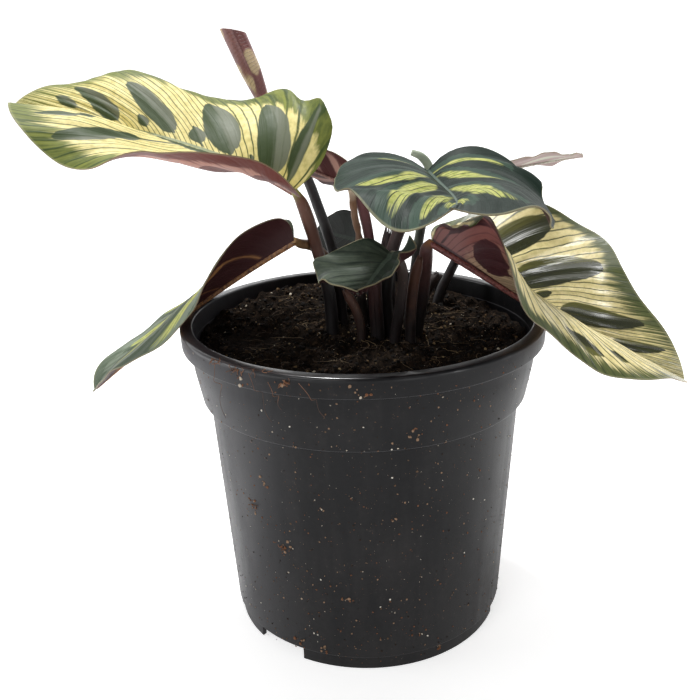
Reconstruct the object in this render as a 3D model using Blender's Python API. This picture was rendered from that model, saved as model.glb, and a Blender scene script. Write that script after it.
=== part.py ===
"""Potted peacock plant: a black nursery pot, its soil, and a node for each leaf blade and each stalk.

Run with blender --background --python part.py, or from Blender's text editor.
All sizes below are millimetres and all angles are degrees. The origin is the middle of the pot's
underside, +Z is up, and the plant's fuller side faces -Y.
"""

import math

import bmesh
import bpy
import numpy as np

MM = 0.001

# Pot, with radii and heights from the underside up
POT_SIDES = 48
POT_HEIGHT = 134.3
RIM_RADIUS = 76.0
RIM_INNER_RADIUS = 70.8
SKIRT_DEPTH = 8.0
BAND_TOP_RADIUS = 71.9
BAND_BOTTOM_RADIUS = 68.9
STEP_HEIGHT = 102.9
WALL_TOP_RADIUS = 65.8
WALL_BOTTOM_RADIUS = 60.0
WALL = 1.4
FLOOR_UNDER = 6.0
FLOOR_TOP = 7.5
FOOT_RADIUS = 58.5
FOOT_WIDTH = 2.0
BOSS_RADIUS = 8.0
FOOT_NOTCH_ANGLES = (109.0, 229.0, 349.0)
FOOT_NOTCH_SPAN = 24.0
FOOT_NOTCH_HEIGHT = 5.4
DRAIN_HOLES = 6
DRAIN_RADIUS = 4.5
DRAIN_CIRCLE = 40.0
DRAIN_START = 11.0
DRAIN_SIDES = 12
EDGE = 0.4
RIM_ROUND = 1.5
SKIRT_DRAFT = 0.5
BAND_KINK = 15.0
NOTCH_STEPS = 5

# Soil
GAP = 0.35
SOIL_EASE = 0.05
SOIL_LEVEL = 124.5
SOIL_BACK_RISE = 4.5
SOIL_LEFT_RISE = 1.5
SOIL_DIP = (-46.0, 4.0)
SOIL_DIP_RADIUS = 17.0
SOIL_DIP_DEPTH = 5.0
SOIL_MOUND = (-30.0, 50.0)
SOIL_MOUND_RADIUS = 24.0
SOIL_MOUND_HEIGHT = 2.0
SOIL_RINGS = (0.92, 0.8, 0.66, 0.52, 0.38, 0.25, 0.12)

# Leaves
BLADE = 0.7
MIDRIB = 0.6
PLEAT = 0.2
MARGIN_RISE = 0.5
MARGIN_FALL = 0.75
VEIN_RAKE = 2.2
VEIN_FAN = 50.0
VEIN_SPACING = 1.3
EARLY_ROW = 0.45
EARLY_ROW_LENGTH = 60.0
SPINE_STEPS = 60

# Stalks
STALK_SIDES = 8
STALK_END_GAP = 0.85
ROOT_DEPTH = 108.0
ROOT_STRAIGHT = 8.0

# Each half blade has its lift and curl at four stations from base to tip, and a wave along its margin
LEAVES = {
    "left_leaf": dict(
        base=(-26.1, 0, 186.1), length=128, width=100.6, lobe=0.16, heading=176, sway=-18,
        pitch=33, arch=-61, droop=40, roll=-43, twist=10.5, rows=18, columns=5,
        left=dict(lift=(48, 26, 47, 54), curl=(40, 37, -54, -15), belly=(1, 0, -8, 2), wave=-3.7, phase=105),
        right=dict(lift=(48, 6, 39, 26), curl=(-62, -54, -119, -166), belly=(0, 0, 0, 0), wave=2.2, phase=-57),
        colour=(0.36, 0.42, 0.16),
    ),
    "centre_leaf": dict(
        base=(28.1, 8, 191), length=105.4, width=89.4, lobe=0.14, heading=281, sway=-25,
        pitch=-9, arch=36.5, droop=-21, roll=22.4, twist=-26, rows=18, columns=5,
        left=dict(lift=(24, 20, 34, -15), curl=(-93, -95, -128, 45), belly=(0, 0, 0, 0), wave=0, phase=0),
        right=dict(lift=(59, 54, 19, -41), curl=(-57, -64, -19, 14), belly=(0, 0, 0, 0), wave=-1.1, phase=132),
        colour=(0.20, 0.28, 0.15),
    ),
    "right_leaf": dict(
        base=(28.6, -6, 165.8), length=129.2, width=88, lobe=0.1, heading=-8, sway=21,
        pitch=-32, arch=-13.6, droop=23.6, roll=-20, twist=44, rows=18, columns=5,
        left=dict(lift=(27, 52, 13, 44), curl=(7, 43, 78, 50), belly=(0, 0, 0, 0), wave=3.8, phase=7),
        right=dict(lift=(86, 30, 45, 36), curl=(-85, -82, -85, -50), belly=(0, 0, 0, 0), wave=-4.4, phase=9),
        colour=(0.42, 0.42, 0.20),
    ),
    "drooping_leaf": dict(
        base=(-26.9, -6, 167.5), length=124.8, width=57.2, lobe=0.12, heading=179, sway=-29.6,
        pitch=-29.3, arch=-20, droop=10, roll=-45.5, twist=8.5, rows=16, columns=4,
        left=dict(lift=(141, 78, 54, 26), curl=(-127, -64, -65, 7), belly=(0, 0, 0, 0), wave=-5, phase=151),
        right=dict(lift=(12, -5, -4, 58), curl=(-96, -48, -71, -110), belly=(0, 0, 0, 0), wave=8.8, phase=-25),
        colour=(0.24, 0.25, 0.16),
    ),
    "front_leaf": dict(
        base=(11.7, -20, 164.2), length=43.4, width=41.7, lobe=0.06, heading=227, sway=44,
        pitch=-32, arch=24, droop=42.6, roll=21.6, twist=-7, rows=14, columns=4,
        left=dict(lift=(-20, -18, 13, 15), curl=(91, 91, 19, -1), belly=(0, 0, 0, 0), wave=1.5, phase=62),
        right=dict(lift=(64, 22, 42, 44), curl=(44, 7, -16, -52), belly=(0, 0, 0, 0), wave=-3.8, phase=15),
        colour=(0.10, 0.14, 0.10),
    ),
    "inner_leaf": dict(
        base=(-2.8, 12.5, 185.3), length=44, width=28, lobe=0.05, heading=174, sway=0,
        pitch=25, arch=-6, droop=0, roll=40, twist=0, rows=12, columns=3,
        left=dict(lift=(14, 12, 10, 10), curl=(10, 10, 10, 10), belly=(0, 0, 0, 0), wave=0.8, phase=20),
        right=dict(lift=(14, 12, 10, 10), curl=(10, 10, 10, 10), belly=(0, 0, 0, 0), wave=0.8, phase=90),
        colour=(0.34, 0.16, 0.15),
    ),
    "back_leaf": dict(
        base=(61, 54, 183.5), length=50, width=34, lobe=0.05, heading=20, sway=0,
        pitch=7, arch=-6, droop=0, roll=-14, twist=0, rows=12, columns=3,
        left=dict(lift=(15, 12, 10, 8), curl=(-10, -10, -10, -10), belly=(0, 0, 0, 0), wave=1.2, phase=40),
        right=dict(lift=(15, 12, 10, 8), curl=(-10, -10, -10, -10), belly=(0, 0, 0, 0), wave=1.2, phase=140),
        colour=(0.34, 0.20, 0.18),
    ),
    "shaded_leaf": dict(
        base=(-1, 30, 158.6), length=25, width=24, lobe=0.05, heading=138, sway=0,
        pitch=6, arch=-5, droop=0, roll=-62, twist=0, rows=7, columns=3,
        left=dict(lift=(8, 8, 8, 8), curl=(-10, -10, -10, -10), belly=(0, 0, 0, 0), wave=0.4, phase=0),
        right=dict(lift=(8, 8, 8, 8), curl=(-10, -10, -10, -10), belly=(0, 0, 0, 0), wave=0.4, phase=60),
        colour=(0.06, 0.08, 0.06),
    ),
}

# The rolled new leaf is a sheet wound round its own axis
ROLLED_AXIS = ((-40.2, 51.0, 216.5), (-46.2, 54.0, 231.5), (-53.0, 57.5, 247.5))
ROLLED_RADII = (2.55, 4.0, 4.4)
ROLLED_TURN = 325.0
ROLLED_START = 40.0
ROLLED_TOP_SLANT = 3.0
ROLLED_LOOSENESS = 0.04
ROLLED_COLUMNS = 13
ROLLED_COLOUR = (0.45, 0.30, 0.24)

# Stalks run from the root end up, and their last point is just short of the blade. The rolled leaf's
# stalk ends inside the narrow foot of its roll.
STALKS = {
    "left_leaf": dict(
        points=((-13, 6), (-13, 6, 128), (-13.6, 6, 139), (-15.2, 5, 150), (-17.7, 3, 160), (-20.3, 1, 171)),
        radii=(3.0, 2.4, 0.9), neck=(3.0, 0.2, -5.6),
    ),
    "centre_leaf": dict(
        points=((12, 3), (11, 3, 128), (10, 3, 138), (10.8, 3, 149), (13.8, 3.6, 162), (18.6, 6, 173)),
        radii=(3.4, 2.4, 0.8), neck=(-3.4, 2.6, -7.0),
    ),
    "right_leaf": dict(
        points=((22.5, -1), (22.7, -1, 127), (24.6, -1.2, 138), (26, -2.4, 149), (26.3, -4.2, 157.5)),
        radii=(3.3, 2.5, 0.8), neck=(-2.0, 0.2, -3.2),
    ),
    "drooping_leaf": dict(
        points=((-8.5, 13), (-8.5, 13, 130), (-10, 12.5, 143), (-13.5, 11, 154), (-17.6, 9.5, 159.6), (-21.6, 6, 162.6)),
        radii=(2.7, 1.8, 0.7), neck=(2.3, 5.4, -2.8),
    ),
    "front_leaf": dict(
        points=((13, -10), (13.2, -10.5, 127), (14.6, -11.7, 137), (16.2, -13.6, 149.5), (15.8, -15.6, 157)),
        radii=(2.7, 1.9, 0.7), neck=(1.9, 2.3, -2.2),
    ),
    "inner_leaf": dict(
        points=((3.6, 9.6), (4.2, 9.7, 129), (4.6, 10, 140), (4.6, 10.8, 152), (3.8, 11.4, 163.5), (1.6, 12, 175.5)),
        radii=(2.7, 2.0, 0.7), neck=(1.9, -0.4, -2.8),
    ),
    "back_leaf": dict(
        points=((34, 37), (36.5, 38, 130), (41.4, 40, 140), (46.8, 43.5, 150), (52, 48, 163)),
        radii=(2.6, 2.0, 0.8), neck=(-3.4, -2.0, -4.4),
    ),
    "shaded_leaf": dict(
        points=((-1, 16.5), (-0.8, 18, 129), (0.6, 23, 139), (1.7, 28.5, 149)),
        radii=(2.0, 1.6, 0.7), neck=(1.8, 0.8, -3.8),
    ),
    "rolled_leaf": dict(
        points=(
            (-9, 20), (-9, 20, 130), (-9.4, 20.3, 141), (-11, 21.4, 153), (-14.1, 23, 164.4),
            (-17.8, 28, 174.6), (-21.5, 33, 184.4), (-27, 39.5, 195.5), (-34, 46, 206.5),
        ),
        radii=(2.8, 2.1, 1.7), end=(-40.42, 51.11, 217.05),
    ),
}

# Bare pieces of the clump: a dried stalk, a young spear and old sheaths, each with its own tip
SHOOTS = {
    "dry_stalk": dict(
        points=((-0.3, 2.8), (-0.1, 3.4, 128), (0.4, 5, 150), (-0.4, 6.4, 163.4), (-2.2, 8, 174), (-2.9, 9, 184.6)),
        radii=(1.9, 1.5, 1.9), colour=(0.30, 0.20, 0.12),
    ),
    "young_spear": dict(
        points=(
            (20.5, 11.5), (20.8, 12.3, 129), (23, 16.5, 144), (25.5, 20.5, 160), (28, 22.5, 172),
            (30.6, 24, 183), (30.2, 25, 190.5), (27, 25, 195), (22.8, 25, 197),
        ),
        radii=(2.6, 1.9, 1.3), colour=(0.40, 0.43, 0.36),
    ),
    "sheath_left": dict(
        points=((-0.8, -6.2), (-0.6, -6.2, 128), (-2.6, -6, 137), (-5.4, -5.4, 142.5), (-7.6, -5, 146)),
        radii=(2.2, 2.0, 0.6), colour=(0.22, 0.12, 0.08),
    ),
    "sheath_front": dict(
        points=((6.2, -4), (6.2, -4, 128), (5.6, -4.5, 140), (5.6, -5, 150), (6.4, -5.4, 158)),
        radii=(3.3, 3.0, 0.8), colour=(0.16, 0.07, 0.06),
    ),
    "sheath_middle": dict(
        points=((12, 11.6), (11.8, 11.6, 128), (11.4, 11.6, 141), (11.6, 11.6, 155), (12.2, 11.8, 168)),
        radii=(3.2, 3.2, 0.8), colour=(0.07, 0.05, 0.05),
    ),
    "sheath_right": dict(
        points=((19.8, -9), (19.5, -9, 128), (20, -9.2, 140), (21.2, -10.4, 151), (23.5, -12, 161)),
        radii=(2.7, 2.3, 0.6), colour=(0.30, 0.16, 0.08),
    ),
    "sheath_back": dict(
        points=((27, 27), (27.4, 27, 128), (30, 27.6, 136), (35.5, 29, 143)),
        radii=(2.9, 2.6, 1.4), colour=(0.10, 0.06, 0.05),
    ),
}

STALK_COLOUR = (0.09, 0.05, 0.05)
POT_COLOUR = (0.02, 0.02, 0.022)
SOIL_COLOUR = (0.035, 0.026, 0.02)


def clear_scene():
    for old in list(bpy.data.objects):
        bpy.data.objects.remove(old, do_unlink=True)


def material(name, colour, roughness):
    made = bpy.data.materials.new(name)
    made.use_nodes = True
    shader = made.node_tree.nodes["Principled BSDF"]
    shader.inputs["Base Color"].default_value = (*colour, 1.0)
    shader.inputs["Roughness"].default_value = roughness
    return made


def solid(name, points, faces, colour=None, roughness=0.5):
    """A closed mesh object from millimetre points, with its faces turned outwards."""
    mesh = bpy.data.meshes.new(name)
    mesh.from_pydata([tuple(MM * float(v) for v in p) for p in points], [], faces)
    work = bmesh.new()
    work.from_mesh(mesh)
    bmesh.ops.triangulate(work, faces=work.faces)
    bmesh.ops.recalc_face_normals(work, faces=work.faces)
    work.to_mesh(mesh)
    work.free()
    mesh.shade_smooth()
    mesh.set_sharp_from_angle(angle=math.radians(35))
    made = bpy.data.objects.new(name, mesh)
    bpy.context.scene.collection.objects.link(made)
    if colour:
        mesh.materials.append(material(name, colour, roughness))
    return made


def cut(target, cutters):
    """Takes each cutter out of the target for good, then removes the cutters."""
    for cutter in cutters:
        step = target.modifiers.new("cut", "BOOLEAN")
        step.operation = "DIFFERENCE"
        step.object = cutter
    bpy.context.view_layer.objects.active = target
    for step in list(target.modifiers):
        bpy.ops.object.modifier_apply(modifier=step.name)
    for cutter in cutters:
        bpy.data.objects.remove(cutter, do_unlink=True)


def rings_to_faces(rings, first_pole, last_pole):
    """Side quads between rings of equal size, closed at each end by a fan to a pole point."""
    faces = []
    size = len(rings[0])
    for low, high in zip(rings, rings[1:]):
        for k in range(size):
            after = (k + 1) % size
            faces.append((low[k], low[after], high[after], high[k]))
    for k in range(size):
        after = (k + 1) % size
        faces.append((rings[0][after], rings[0][k], first_pole))
        faces.append((rings[-1][k], rings[-1][after], last_pole))
    return faces


def turned(name, profile, colour=None, roughness=0.5, sides=POT_SIDES):
    """A profile of (radius, height) turned round Z, from a start on the axis to an end on it."""
    points = [(0, 0, profile[0][1]), (0, 0, profile[-1][1])]
    rings = []
    for radius, height in profile[1:-1]:
        rings.append(range(len(points), len(points) + sides))
        for k in range(sides):
            angle = 2 * math.pi * k / sides
            points.append((radius * math.cos(angle), radius * math.sin(angle), height))
    return solid(name, points, rings_to_faces(rings, 0, 1), colour, roughness)


def pot_inner_profile():
    """The inside of the pot from the edge of its floor up to the rim."""
    step_inner = WALL_TOP_RADIUS - WALL
    return [
        (WALL_BOTTOM_RADIUS - WALL - 2 * EDGE, FLOOR_TOP),
        (WALL_BOTTOM_RADIUS - WALL, FLOOR_TOP + 2 * EDGE),
        (step_inner, STEP_HEIGHT),
        (step_inner + WALL, STEP_HEIGHT + WALL),
        (BAND_BOTTOM_RADIUS - WALL, STEP_HEIGHT + WALL + EDGE),
        (BAND_TOP_RADIUS - WALL - EDGE, STEP_HEIGHT + BAND_KINK + WALL),
        (RIM_INNER_RADIUS - EDGE, POT_HEIGHT - SKIRT_DEPTH),
        (RIM_INNER_RADIUS, POT_HEIGHT),
    ]


def pot():
    skirt_bottom = POT_HEIGHT - SKIRT_DEPTH
    outside = [
        (RIM_RADIUS - RIM_ROUND, POT_HEIGHT),
        (RIM_RADIUS - EDGE, POT_HEIGHT - EDGE),
        (RIM_RADIUS, POT_HEIGHT - RIM_ROUND),
        (RIM_RADIUS - SKIRT_DRAFT, skirt_bottom),
        (BAND_TOP_RADIUS + EDGE, skirt_bottom - EDGE),
        (BAND_TOP_RADIUS, skirt_bottom - 2 * EDGE),
        (BAND_TOP_RADIUS - EDGE, STEP_HEIGHT + BAND_KINK),
        (BAND_BOTTOM_RADIUS, STEP_HEIGHT + EDGE),
        (BAND_BOTTOM_RADIUS - EDGE, STEP_HEIGHT),
        (WALL_TOP_RADIUS + EDGE, STEP_HEIGHT - EDGE),
        (WALL_TOP_RADIUS, STEP_HEIGHT - 2 * EDGE),
        (WALL_BOTTOM_RADIUS, FLOOR_UNDER + 2 * EDGE),
        (WALL_BOTTOM_RADIUS - EDGE, FLOOR_UNDER + EDGE),
        (FOOT_RADIUS + EDGE, FLOOR_UNDER),
        (FOOT_RADIUS, EDGE),
        (FOOT_RADIUS - EDGE, 0),
        (FOOT_RADIUS - FOOT_WIDTH, 0),
        (FOOT_RADIUS - FOOT_WIDTH - EDGE / 2, FLOOR_UNDER),
        (BOSS_RADIUS + 2 * EDGE, FLOOR_UNDER),
        (BOSS_RADIUS, 0),
    ]
    profile = [(0, FLOOR_TOP), *pot_inner_profile(), *outside, (0, 0)]
    made = turned("pot", profile, POT_COLOUR, 0.35)
    cut(made, [foot_notch(angle) for angle in FOOT_NOTCH_ANGLES] + drain_cutters())


def foot_notch(middle):
    """A wedge of the foot ring, which lets water out from under the pot."""
    inner, outer = FOOT_RADIUS - 2 * FOOT_WIDTH, FOOT_RADIUS + FOOT_WIDTH
    points = []
    rings = []
    for k in range(NOTCH_STEPS):
        angle = math.radians(middle + FOOT_NOTCH_SPAN * (k / (NOTCH_STEPS - 1) - 0.5))
        corners = [(inner, -1), (outer, -1), (outer, FOOT_NOTCH_HEIGHT), (inner, FOOT_NOTCH_HEIGHT)]
        rings.append(range(len(points), len(points) + 4))
        points += [(r * math.cos(angle), r * math.sin(angle), z) for r, z in corners]
    middles = [np.mean([points[i] for i in ring], axis=0) for ring in (rings[0], rings[-1])]
    points += middles
    return solid("notch", points, rings_to_faces(rings, len(points) - 2, len(points) - 1))


def drain_cutters():
    made = []
    for k in range(DRAIN_HOLES):
        angle = math.radians(DRAIN_START + 360 * k / DRAIN_HOLES)
        place = (DRAIN_CIRCLE * math.cos(angle) * MM, DRAIN_CIRCLE * math.sin(angle) * MM, FLOOR_UNDER * MM)
        bpy.ops.mesh.primitive_cylinder_add(
            vertices=DRAIN_SIDES, radius=DRAIN_RADIUS * MM, depth=FLOOR_TOP * MM, location=place
        )
        made.append(bpy.context.object)
    return made


def soil_height(x, y):
    """Height of the soil: a slope, a dip beside the drooping leaf, a mound and small bumps."""
    dip = np.exp(-((x - SOIL_DIP[0]) ** 2 + (y - SOIL_DIP[1]) ** 2) / SOIL_DIP_RADIUS**2)
    mound = np.exp(-((x - SOIL_MOUND[0]) ** 2 + (y - SOIL_MOUND[1]) ** 2) / SOIL_MOUND_RADIUS**2)
    slope = SOIL_BACK_RISE * y / RIM_INNER_RADIUS - SOIL_LEFT_RISE * x / RIM_INNER_RADIUS
    bumps = 0.5 * np.sin(0.31 * x + 1.3) * np.cos(0.27 * y) + 0.4 * np.sin(0.73 * x - 0.45 * y + 2)
    return SOIL_LEVEL + slope - SOIL_DIP_DEPTH * dip + SOIL_MOUND_HEIGHT * mound + bumps


def soil():
    inside = pot_inner_profile()
    heights = [z for _, z in inside]
    radii = [r for r, _ in inside]

    def edge_radius(height):
        return float(np.interp(height, heights, radii)) - GAP - SOIL_EASE

    profile = [(inside[0][0] - GAP, FLOOR_TOP + GAP)]
    profile += [(r - GAP - SOIL_EASE, z + GAP / 2) for r, z in inside[1:6]]
    points = [(0, 0, FLOOR_TOP + GAP), (0, 0, float(soil_height(0.0, 0.0)))]
    rings = []
    angles = [2 * math.pi * k / POT_SIDES for k in range(POT_SIDES)]
    for radius, height in profile:
        rings.append(range(len(points), len(points) + POT_SIDES))
        points += [(radius * math.cos(a), radius * math.sin(a), height) for a in angles]
    for share in (1.0, *SOIL_RINGS):
        rings.append(range(len(points), len(points) + POT_SIDES))
        for a in angles:
            radius = share * edge_radius(SOIL_LEVEL)
            height = float(soil_height(radius * math.cos(a), radius * math.sin(a)))
            if share == 1.0:
                radius = edge_radius(height)
            points.append((radius * math.cos(a), radius * math.sin(a), height))
    return solid("soil", points, rings_to_faces(rings, 0, 1), SOIL_COLOUR, 0.95)


def eased(stations, share):
    """Four values from base to tip, joined by half cosine waves."""
    values = np.asarray(stations, float)
    place = share * (len(values) - 1)
    low = np.clip(place.astype(int), 0, len(values) - 2)
    return values[low] + (values[low + 1] - values[low]) * (1 - np.cos(np.pi * (place - low))) / 2


def margin(leaf, u):
    """Flat margin of a half blade: distance along the midrib and out from it, with a lobe at the base."""
    widest = MARGIN_RISE / (MARGIN_RISE + MARGIN_FALL)
    peak = widest**MARGIN_RISE * (1 - widest) ** MARGIN_FALL
    share = np.clip(u, 0, 1) ** MARGIN_RISE * np.clip(1 - u, 0, 1) ** MARGIN_FALL / peak
    along = leaf["length"] * (u - leaf["lobe"] * share * (1 - u) ** 6)
    return along, leaf["width"] / 2 * share


def vein(leaf, u, t):
    """Flat place on the side vein that ends on the margin at u, from the midrib at t=0 outwards."""
    along, out = margin(leaf, u)
    start = leaf["length"] * (1 - np.clip(1 - u, 0, 1) ** (1 / VEIN_RAKE))
    bend_out = 0.75 * out
    bend = start + np.minimum(bend_out / math.tan(math.radians(VEIN_FAN)), 0.55 * (along - start))
    x = (1 - t) ** 2 * start + 2 * t * (1 - t) * bend + t * t * along
    y = 2 * t * (1 - t) * bend_out + t * t * out
    return x, y


def spine(leaf):
    """Points and frames down the midrib: forward, sideways to the left, and up out of the blade."""
    s = np.linspace(0, 1, SPINE_STEPS + 1)
    heading = np.radians(leaf["heading"] + leaf["sway"] * s)
    pitch = np.radians(leaf["pitch"] + leaf["arch"] * s + leaf["droop"] * s * s)
    roll = np.radians(leaf["roll"] + leaf["twist"] * s)[:, None]
    forward = np.stack([np.cos(pitch) * np.cos(heading), np.cos(pitch) * np.sin(heading), np.sin(pitch)], -1)
    up = np.stack([-np.sin(pitch) * np.cos(heading), -np.sin(pitch) * np.sin(heading), np.cos(pitch)], -1)
    level = np.cross(up, forward)
    points = np.zeros((SPINE_STEPS + 1, 3))
    points[1:] = np.cumsum((forward[1:] + forward[:-1]) / 2, 0) * leaf["length"] / SPINE_STEPS
    points += np.array(leaf["base"], float)
    left = np.cos(roll) * level + np.sin(roll) * up
    normal = -np.sin(roll) * level + np.cos(roll) * up
    return s, points, forward, left, normal


def surface(leaf, x, y, side):
    """Bends flat places on one half of the blade into the leaf's shape; side is 1 left, -1 right."""
    s, points, forward, left, normal = spine(leaf)
    half = leaf["left"] if side > 0 else leaf["right"]
    share = x / leaf["length"]
    held = np.clip(share, 0, 1)

    def along(rows):
        return np.stack([np.interp(held, s, rows[:, k]) for k in range(3)], -1)

    centre = along(points) + (np.minimum(share, 0) * leaf["length"])[..., None] * along(forward)
    lift = np.radians(eased(half["lift"], held))
    bend = np.radians(eased(half["curl"], held)) / (leaf["width"] / 2)
    bend = np.where(np.abs(bend) < 1e-6, 1e-6, bend)
    out = (np.sin(lift + bend * y) - np.sin(lift)) / bend
    rise = (np.cos(lift) - np.cos(lift + bend * y)) / bend
    width_share = y / (leaf["width"] / 2)
    rise = rise - eased(half["belly"], held) * np.sin(np.pi * np.clip(width_share, 0, 1))
    rise = rise + half["wave"] * np.sin(np.radians(720 * held + half["phase"])) * width_share**2
    return centre + side * out[..., None] * along(left) + rise[..., None] * along(normal)


def sheet(name, grid, first, last, thickness, colour, rib_column=None):
    """A closed blade from a grid of points, which narrows to the points first and last.

    Both faces share one triangulation. The rib column stands out of the under face.
    """
    rows, columns = grid.shape[:2]
    middle = np.vstack([grid.reshape(-1, 3), first, last])
    first_index, last_index = rows * columns, rows * columns + 1
    triangles = []
    for i in range(columns - 1):
        triangles.append((first_index, i + 1, i))
        base = (rows - 1) * columns + i
        triangles.append((last_index, base, base + 1))
        for j in range(rows - 1):
            low = j * columns + i
            high = low + columns
            if i < (columns - 1) / 2:
                triangles += [(low, low + 1, high), (low + 1, high + 1, high)]
            else:
                triangles += [(low, low + 1, high + 1), (low, high + 1, high)]
    triangles = np.array(triangles)
    normals = np.zeros_like(middle)
    corners = middle[triangles]
    flat = np.cross(corners[:, 1] - corners[:, 0], corners[:, 2] - corners[:, 0])
    for k in range(3):
        np.add.at(normals, triangles[:, k], flat)
    normals /= np.linalg.norm(normals, axis=1)[:, None]
    under = np.full(len(middle), thickness / 2)
    if rib_column is not None:
        for j in range(rows):
            under[j * columns + rib_column] += MIDRIB * min(1 - j / rows, (j + 1) / 3)
    count = len(middle)
    points = np.vstack([middle + normals * thickness / 2, middle - normals * under[:, None]])
    loop = [first_index, *range(0, rows * columns, columns), last_index]
    loop += range(rows * columns - 1, 0, -columns)
    faces = [tuple(int(v) for v in f) for f in triangles]
    faces += [tuple(int(v) + count for v in f[::-1]) for f in triangles]
    for a, b in zip(loop, loop[1:] + loop[:1]):
        faces += [(a, b, b + count), (a, b + count, a + count)]
    return solid(name, points, faces, colour, 0.4)


def blade(name, leaf):
    """Rows of the grid follow the side veins, and every second one is raised a little."""
    rows, columns = leaf["rows"], leaf["columns"]
    first = [EARLY_ROW] if leaf["length"] > EARLY_ROW_LENGTH else []
    start = (np.array([*first, *range(1, rows)]) / rows) ** VEIN_SPACING
    u = 1 - (1 - start) ** VEIN_RAKE
    t = np.sin(np.linspace(0, np.pi / 2, columns + 1))
    t = (t + np.linspace(0, 1, columns + 1)) / 2
    grid = np.zeros((len(start), 2 * columns + 1, 3))
    for j, end in enumerate(u):
        x, y = vein(leaf, np.full(columns + 1, end), t)
        grid[j, :columns] = surface(leaf, x, y, 1)[:0:-1]
        grid[j, columns:] = surface(leaf, x, y, -1)
    grid += pleats(grid, columns)
    ends = surface(leaf, np.array([0.0, leaf["length"]]), np.zeros(2), 1)
    sheet(name + "_blade", grid, ends[0], ends[1], BLADE, leaf["colour"], columns)


def pleats(grid, columns):
    """A small rise of every second vein row and fall of the others, none at the midrib and margin."""
    across = np.gradient(grid, axis=1)
    along = np.gradient(grid, axis=0)
    normal = np.cross(along, across)
    normal /= np.linalg.norm(normal, axis=2)[..., None]
    sign = np.where(np.arange(grid.shape[0]) % 2 == 0, 1.0, -1.0)[:, None]
    share = np.abs(np.arange(grid.shape[1]) - columns) / columns
    height = PLEAT * sign * np.sin(np.pi * share)[None, :]
    return height[..., None] * normal


def smooth_path(points, steps=2):
    """A Catmull-Rom curve through the points."""
    points = np.asarray(points, float)
    padded = np.vstack([2 * points[0] - points[1], points, 2 * points[-1] - points[-2]])
    path = []
    for k in range(len(points) - 1):
        p0, p1, p2, p3 = padded[k : k + 4]
        for f in np.arange(steps) / steps:
            path.append(
                0.5 * (2 * p1 + (p2 - p0) * f + (2 * p0 - 5 * p1 + 4 * p2 - p3) * f**2
                       + (3 * p1 - 3 * p2 + p3 - p0) * f**3)
            )
    path.append(points[-1])
    return np.array(path)


def tube(name, path, radii, colour=None):
    """A round stalk whose rings turn with the path without twisting."""
    tangents = np.gradient(path, axis=0)
    tangents /= np.linalg.norm(tangents, axis=1)[:, None]
    side = np.array([1.0, 0.0, 0.0])
    points = [path[0], path[-1]]
    rings = []
    for place, tangent, radius in zip(path, tangents, radii):
        side = side - tangent * side.dot(tangent)
        side /= np.linalg.norm(side)
        other = np.cross(tangent, side)
        rings.append(range(len(points), len(points) + STALK_SIDES))
        for k in range(STALK_SIDES):
            angle = 2 * math.pi * k / STALK_SIDES
            points.append(place + radius * (math.cos(angle) * side + math.sin(angle) * other))
    return solid(name, points, rings_to_faces(rings, 0, 1), colour, 0.45)


def radii_along(path, radii):
    """Three radii, at the root, the middle and the end, eased along the path's length."""
    steps = np.linalg.norm(np.diff(path, axis=0), axis=1)
    share = np.concatenate([[0], np.cumsum(steps)]) / steps.sum()
    return np.interp(share, (0, 0.3, 0.92, 1), (radii[0], (radii[0] + radii[1]) / 2, radii[1], radii[2]))


def root_points(points):
    """The first point is given by its place in the soil: it becomes a plumb stretch from the root end."""
    x, y = points[0]
    return [(x, y, ROOT_DEPTH), (x, y, ROOT_DEPTH + ROOT_STRAIGHT), *points[1:]]


def stalk_path(name, stalk):
    points = root_points(stalk["points"])
    if name in LEAVES:
        base = np.array(LEAVES[name]["base"])
        neck = np.array(stalk["neck"])
        points.append(base + neck)
        points.append(base + STALK_END_GAP * neck / np.linalg.norm(neck))
    else:
        points.append(stalk["end"])
    return smooth_path(points)


def rooted(name, path, radii, colour):
    """A tube and the cutter that makes its hole in the soil."""
    tube(name, path, radii, colour)
    deeper = np.vstack([path[0] - (0, 0, GAP), path[1:]])
    return tube(name + "_hole", deeper, radii + GAP)


def stalks_and_shoots():
    holes = []
    for name, stalk in STALKS.items():
        path = stalk_path(name, stalk)
        holes.append(rooted(name + "_stalk", path, radii_along(path, stalk["radii"]), STALK_COLOUR))
    for name, shoot in SHOOTS.items():
        path = smooth_path(root_points(shoot["points"]))
        holes.append(rooted(name, path, radii_along(path, shoot["radii"]), shoot["colour"]))
    return holes


def rolled_blade():
    """A young leaf still rolled up: a strip of most of a turn, with a slanted open top."""
    path = smooth_path(ROLLED_AXIS, 3)
    forward = path[-1] - path[0]
    forward /= np.linalg.norm(forward)
    side = np.cross(forward, (0, 1.0, 0))
    side /= np.linalg.norm(side)
    other = np.cross(forward, side)
    turn = np.radians(ROLLED_START + np.linspace(0, ROLLED_TURN, ROLLED_COLUMNS))
    radii = np.interp(np.linspace(0, 2, len(path)), (0, 1, 2), ROLLED_RADII)
    grid = np.zeros((len(path), len(turn), 3))
    for j, (place, radius) in enumerate(zip(path, radii)):
        slant = ROLLED_TOP_SLANT * (j / (len(path) - 1)) ** 2
        for i, angle in enumerate(turn):
            out = radius * (1 + ROLLED_LOOSENESS * i / ROLLED_COLUMNS)
            grid[j, i] = place + out * (math.cos(angle) * side + math.sin(angle) * other)
            grid[j, i] += slant * math.cos(angle) * forward
    open_sheet("rolled_leaf_blade", grid, BLADE, ROLLED_COLOUR)


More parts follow.
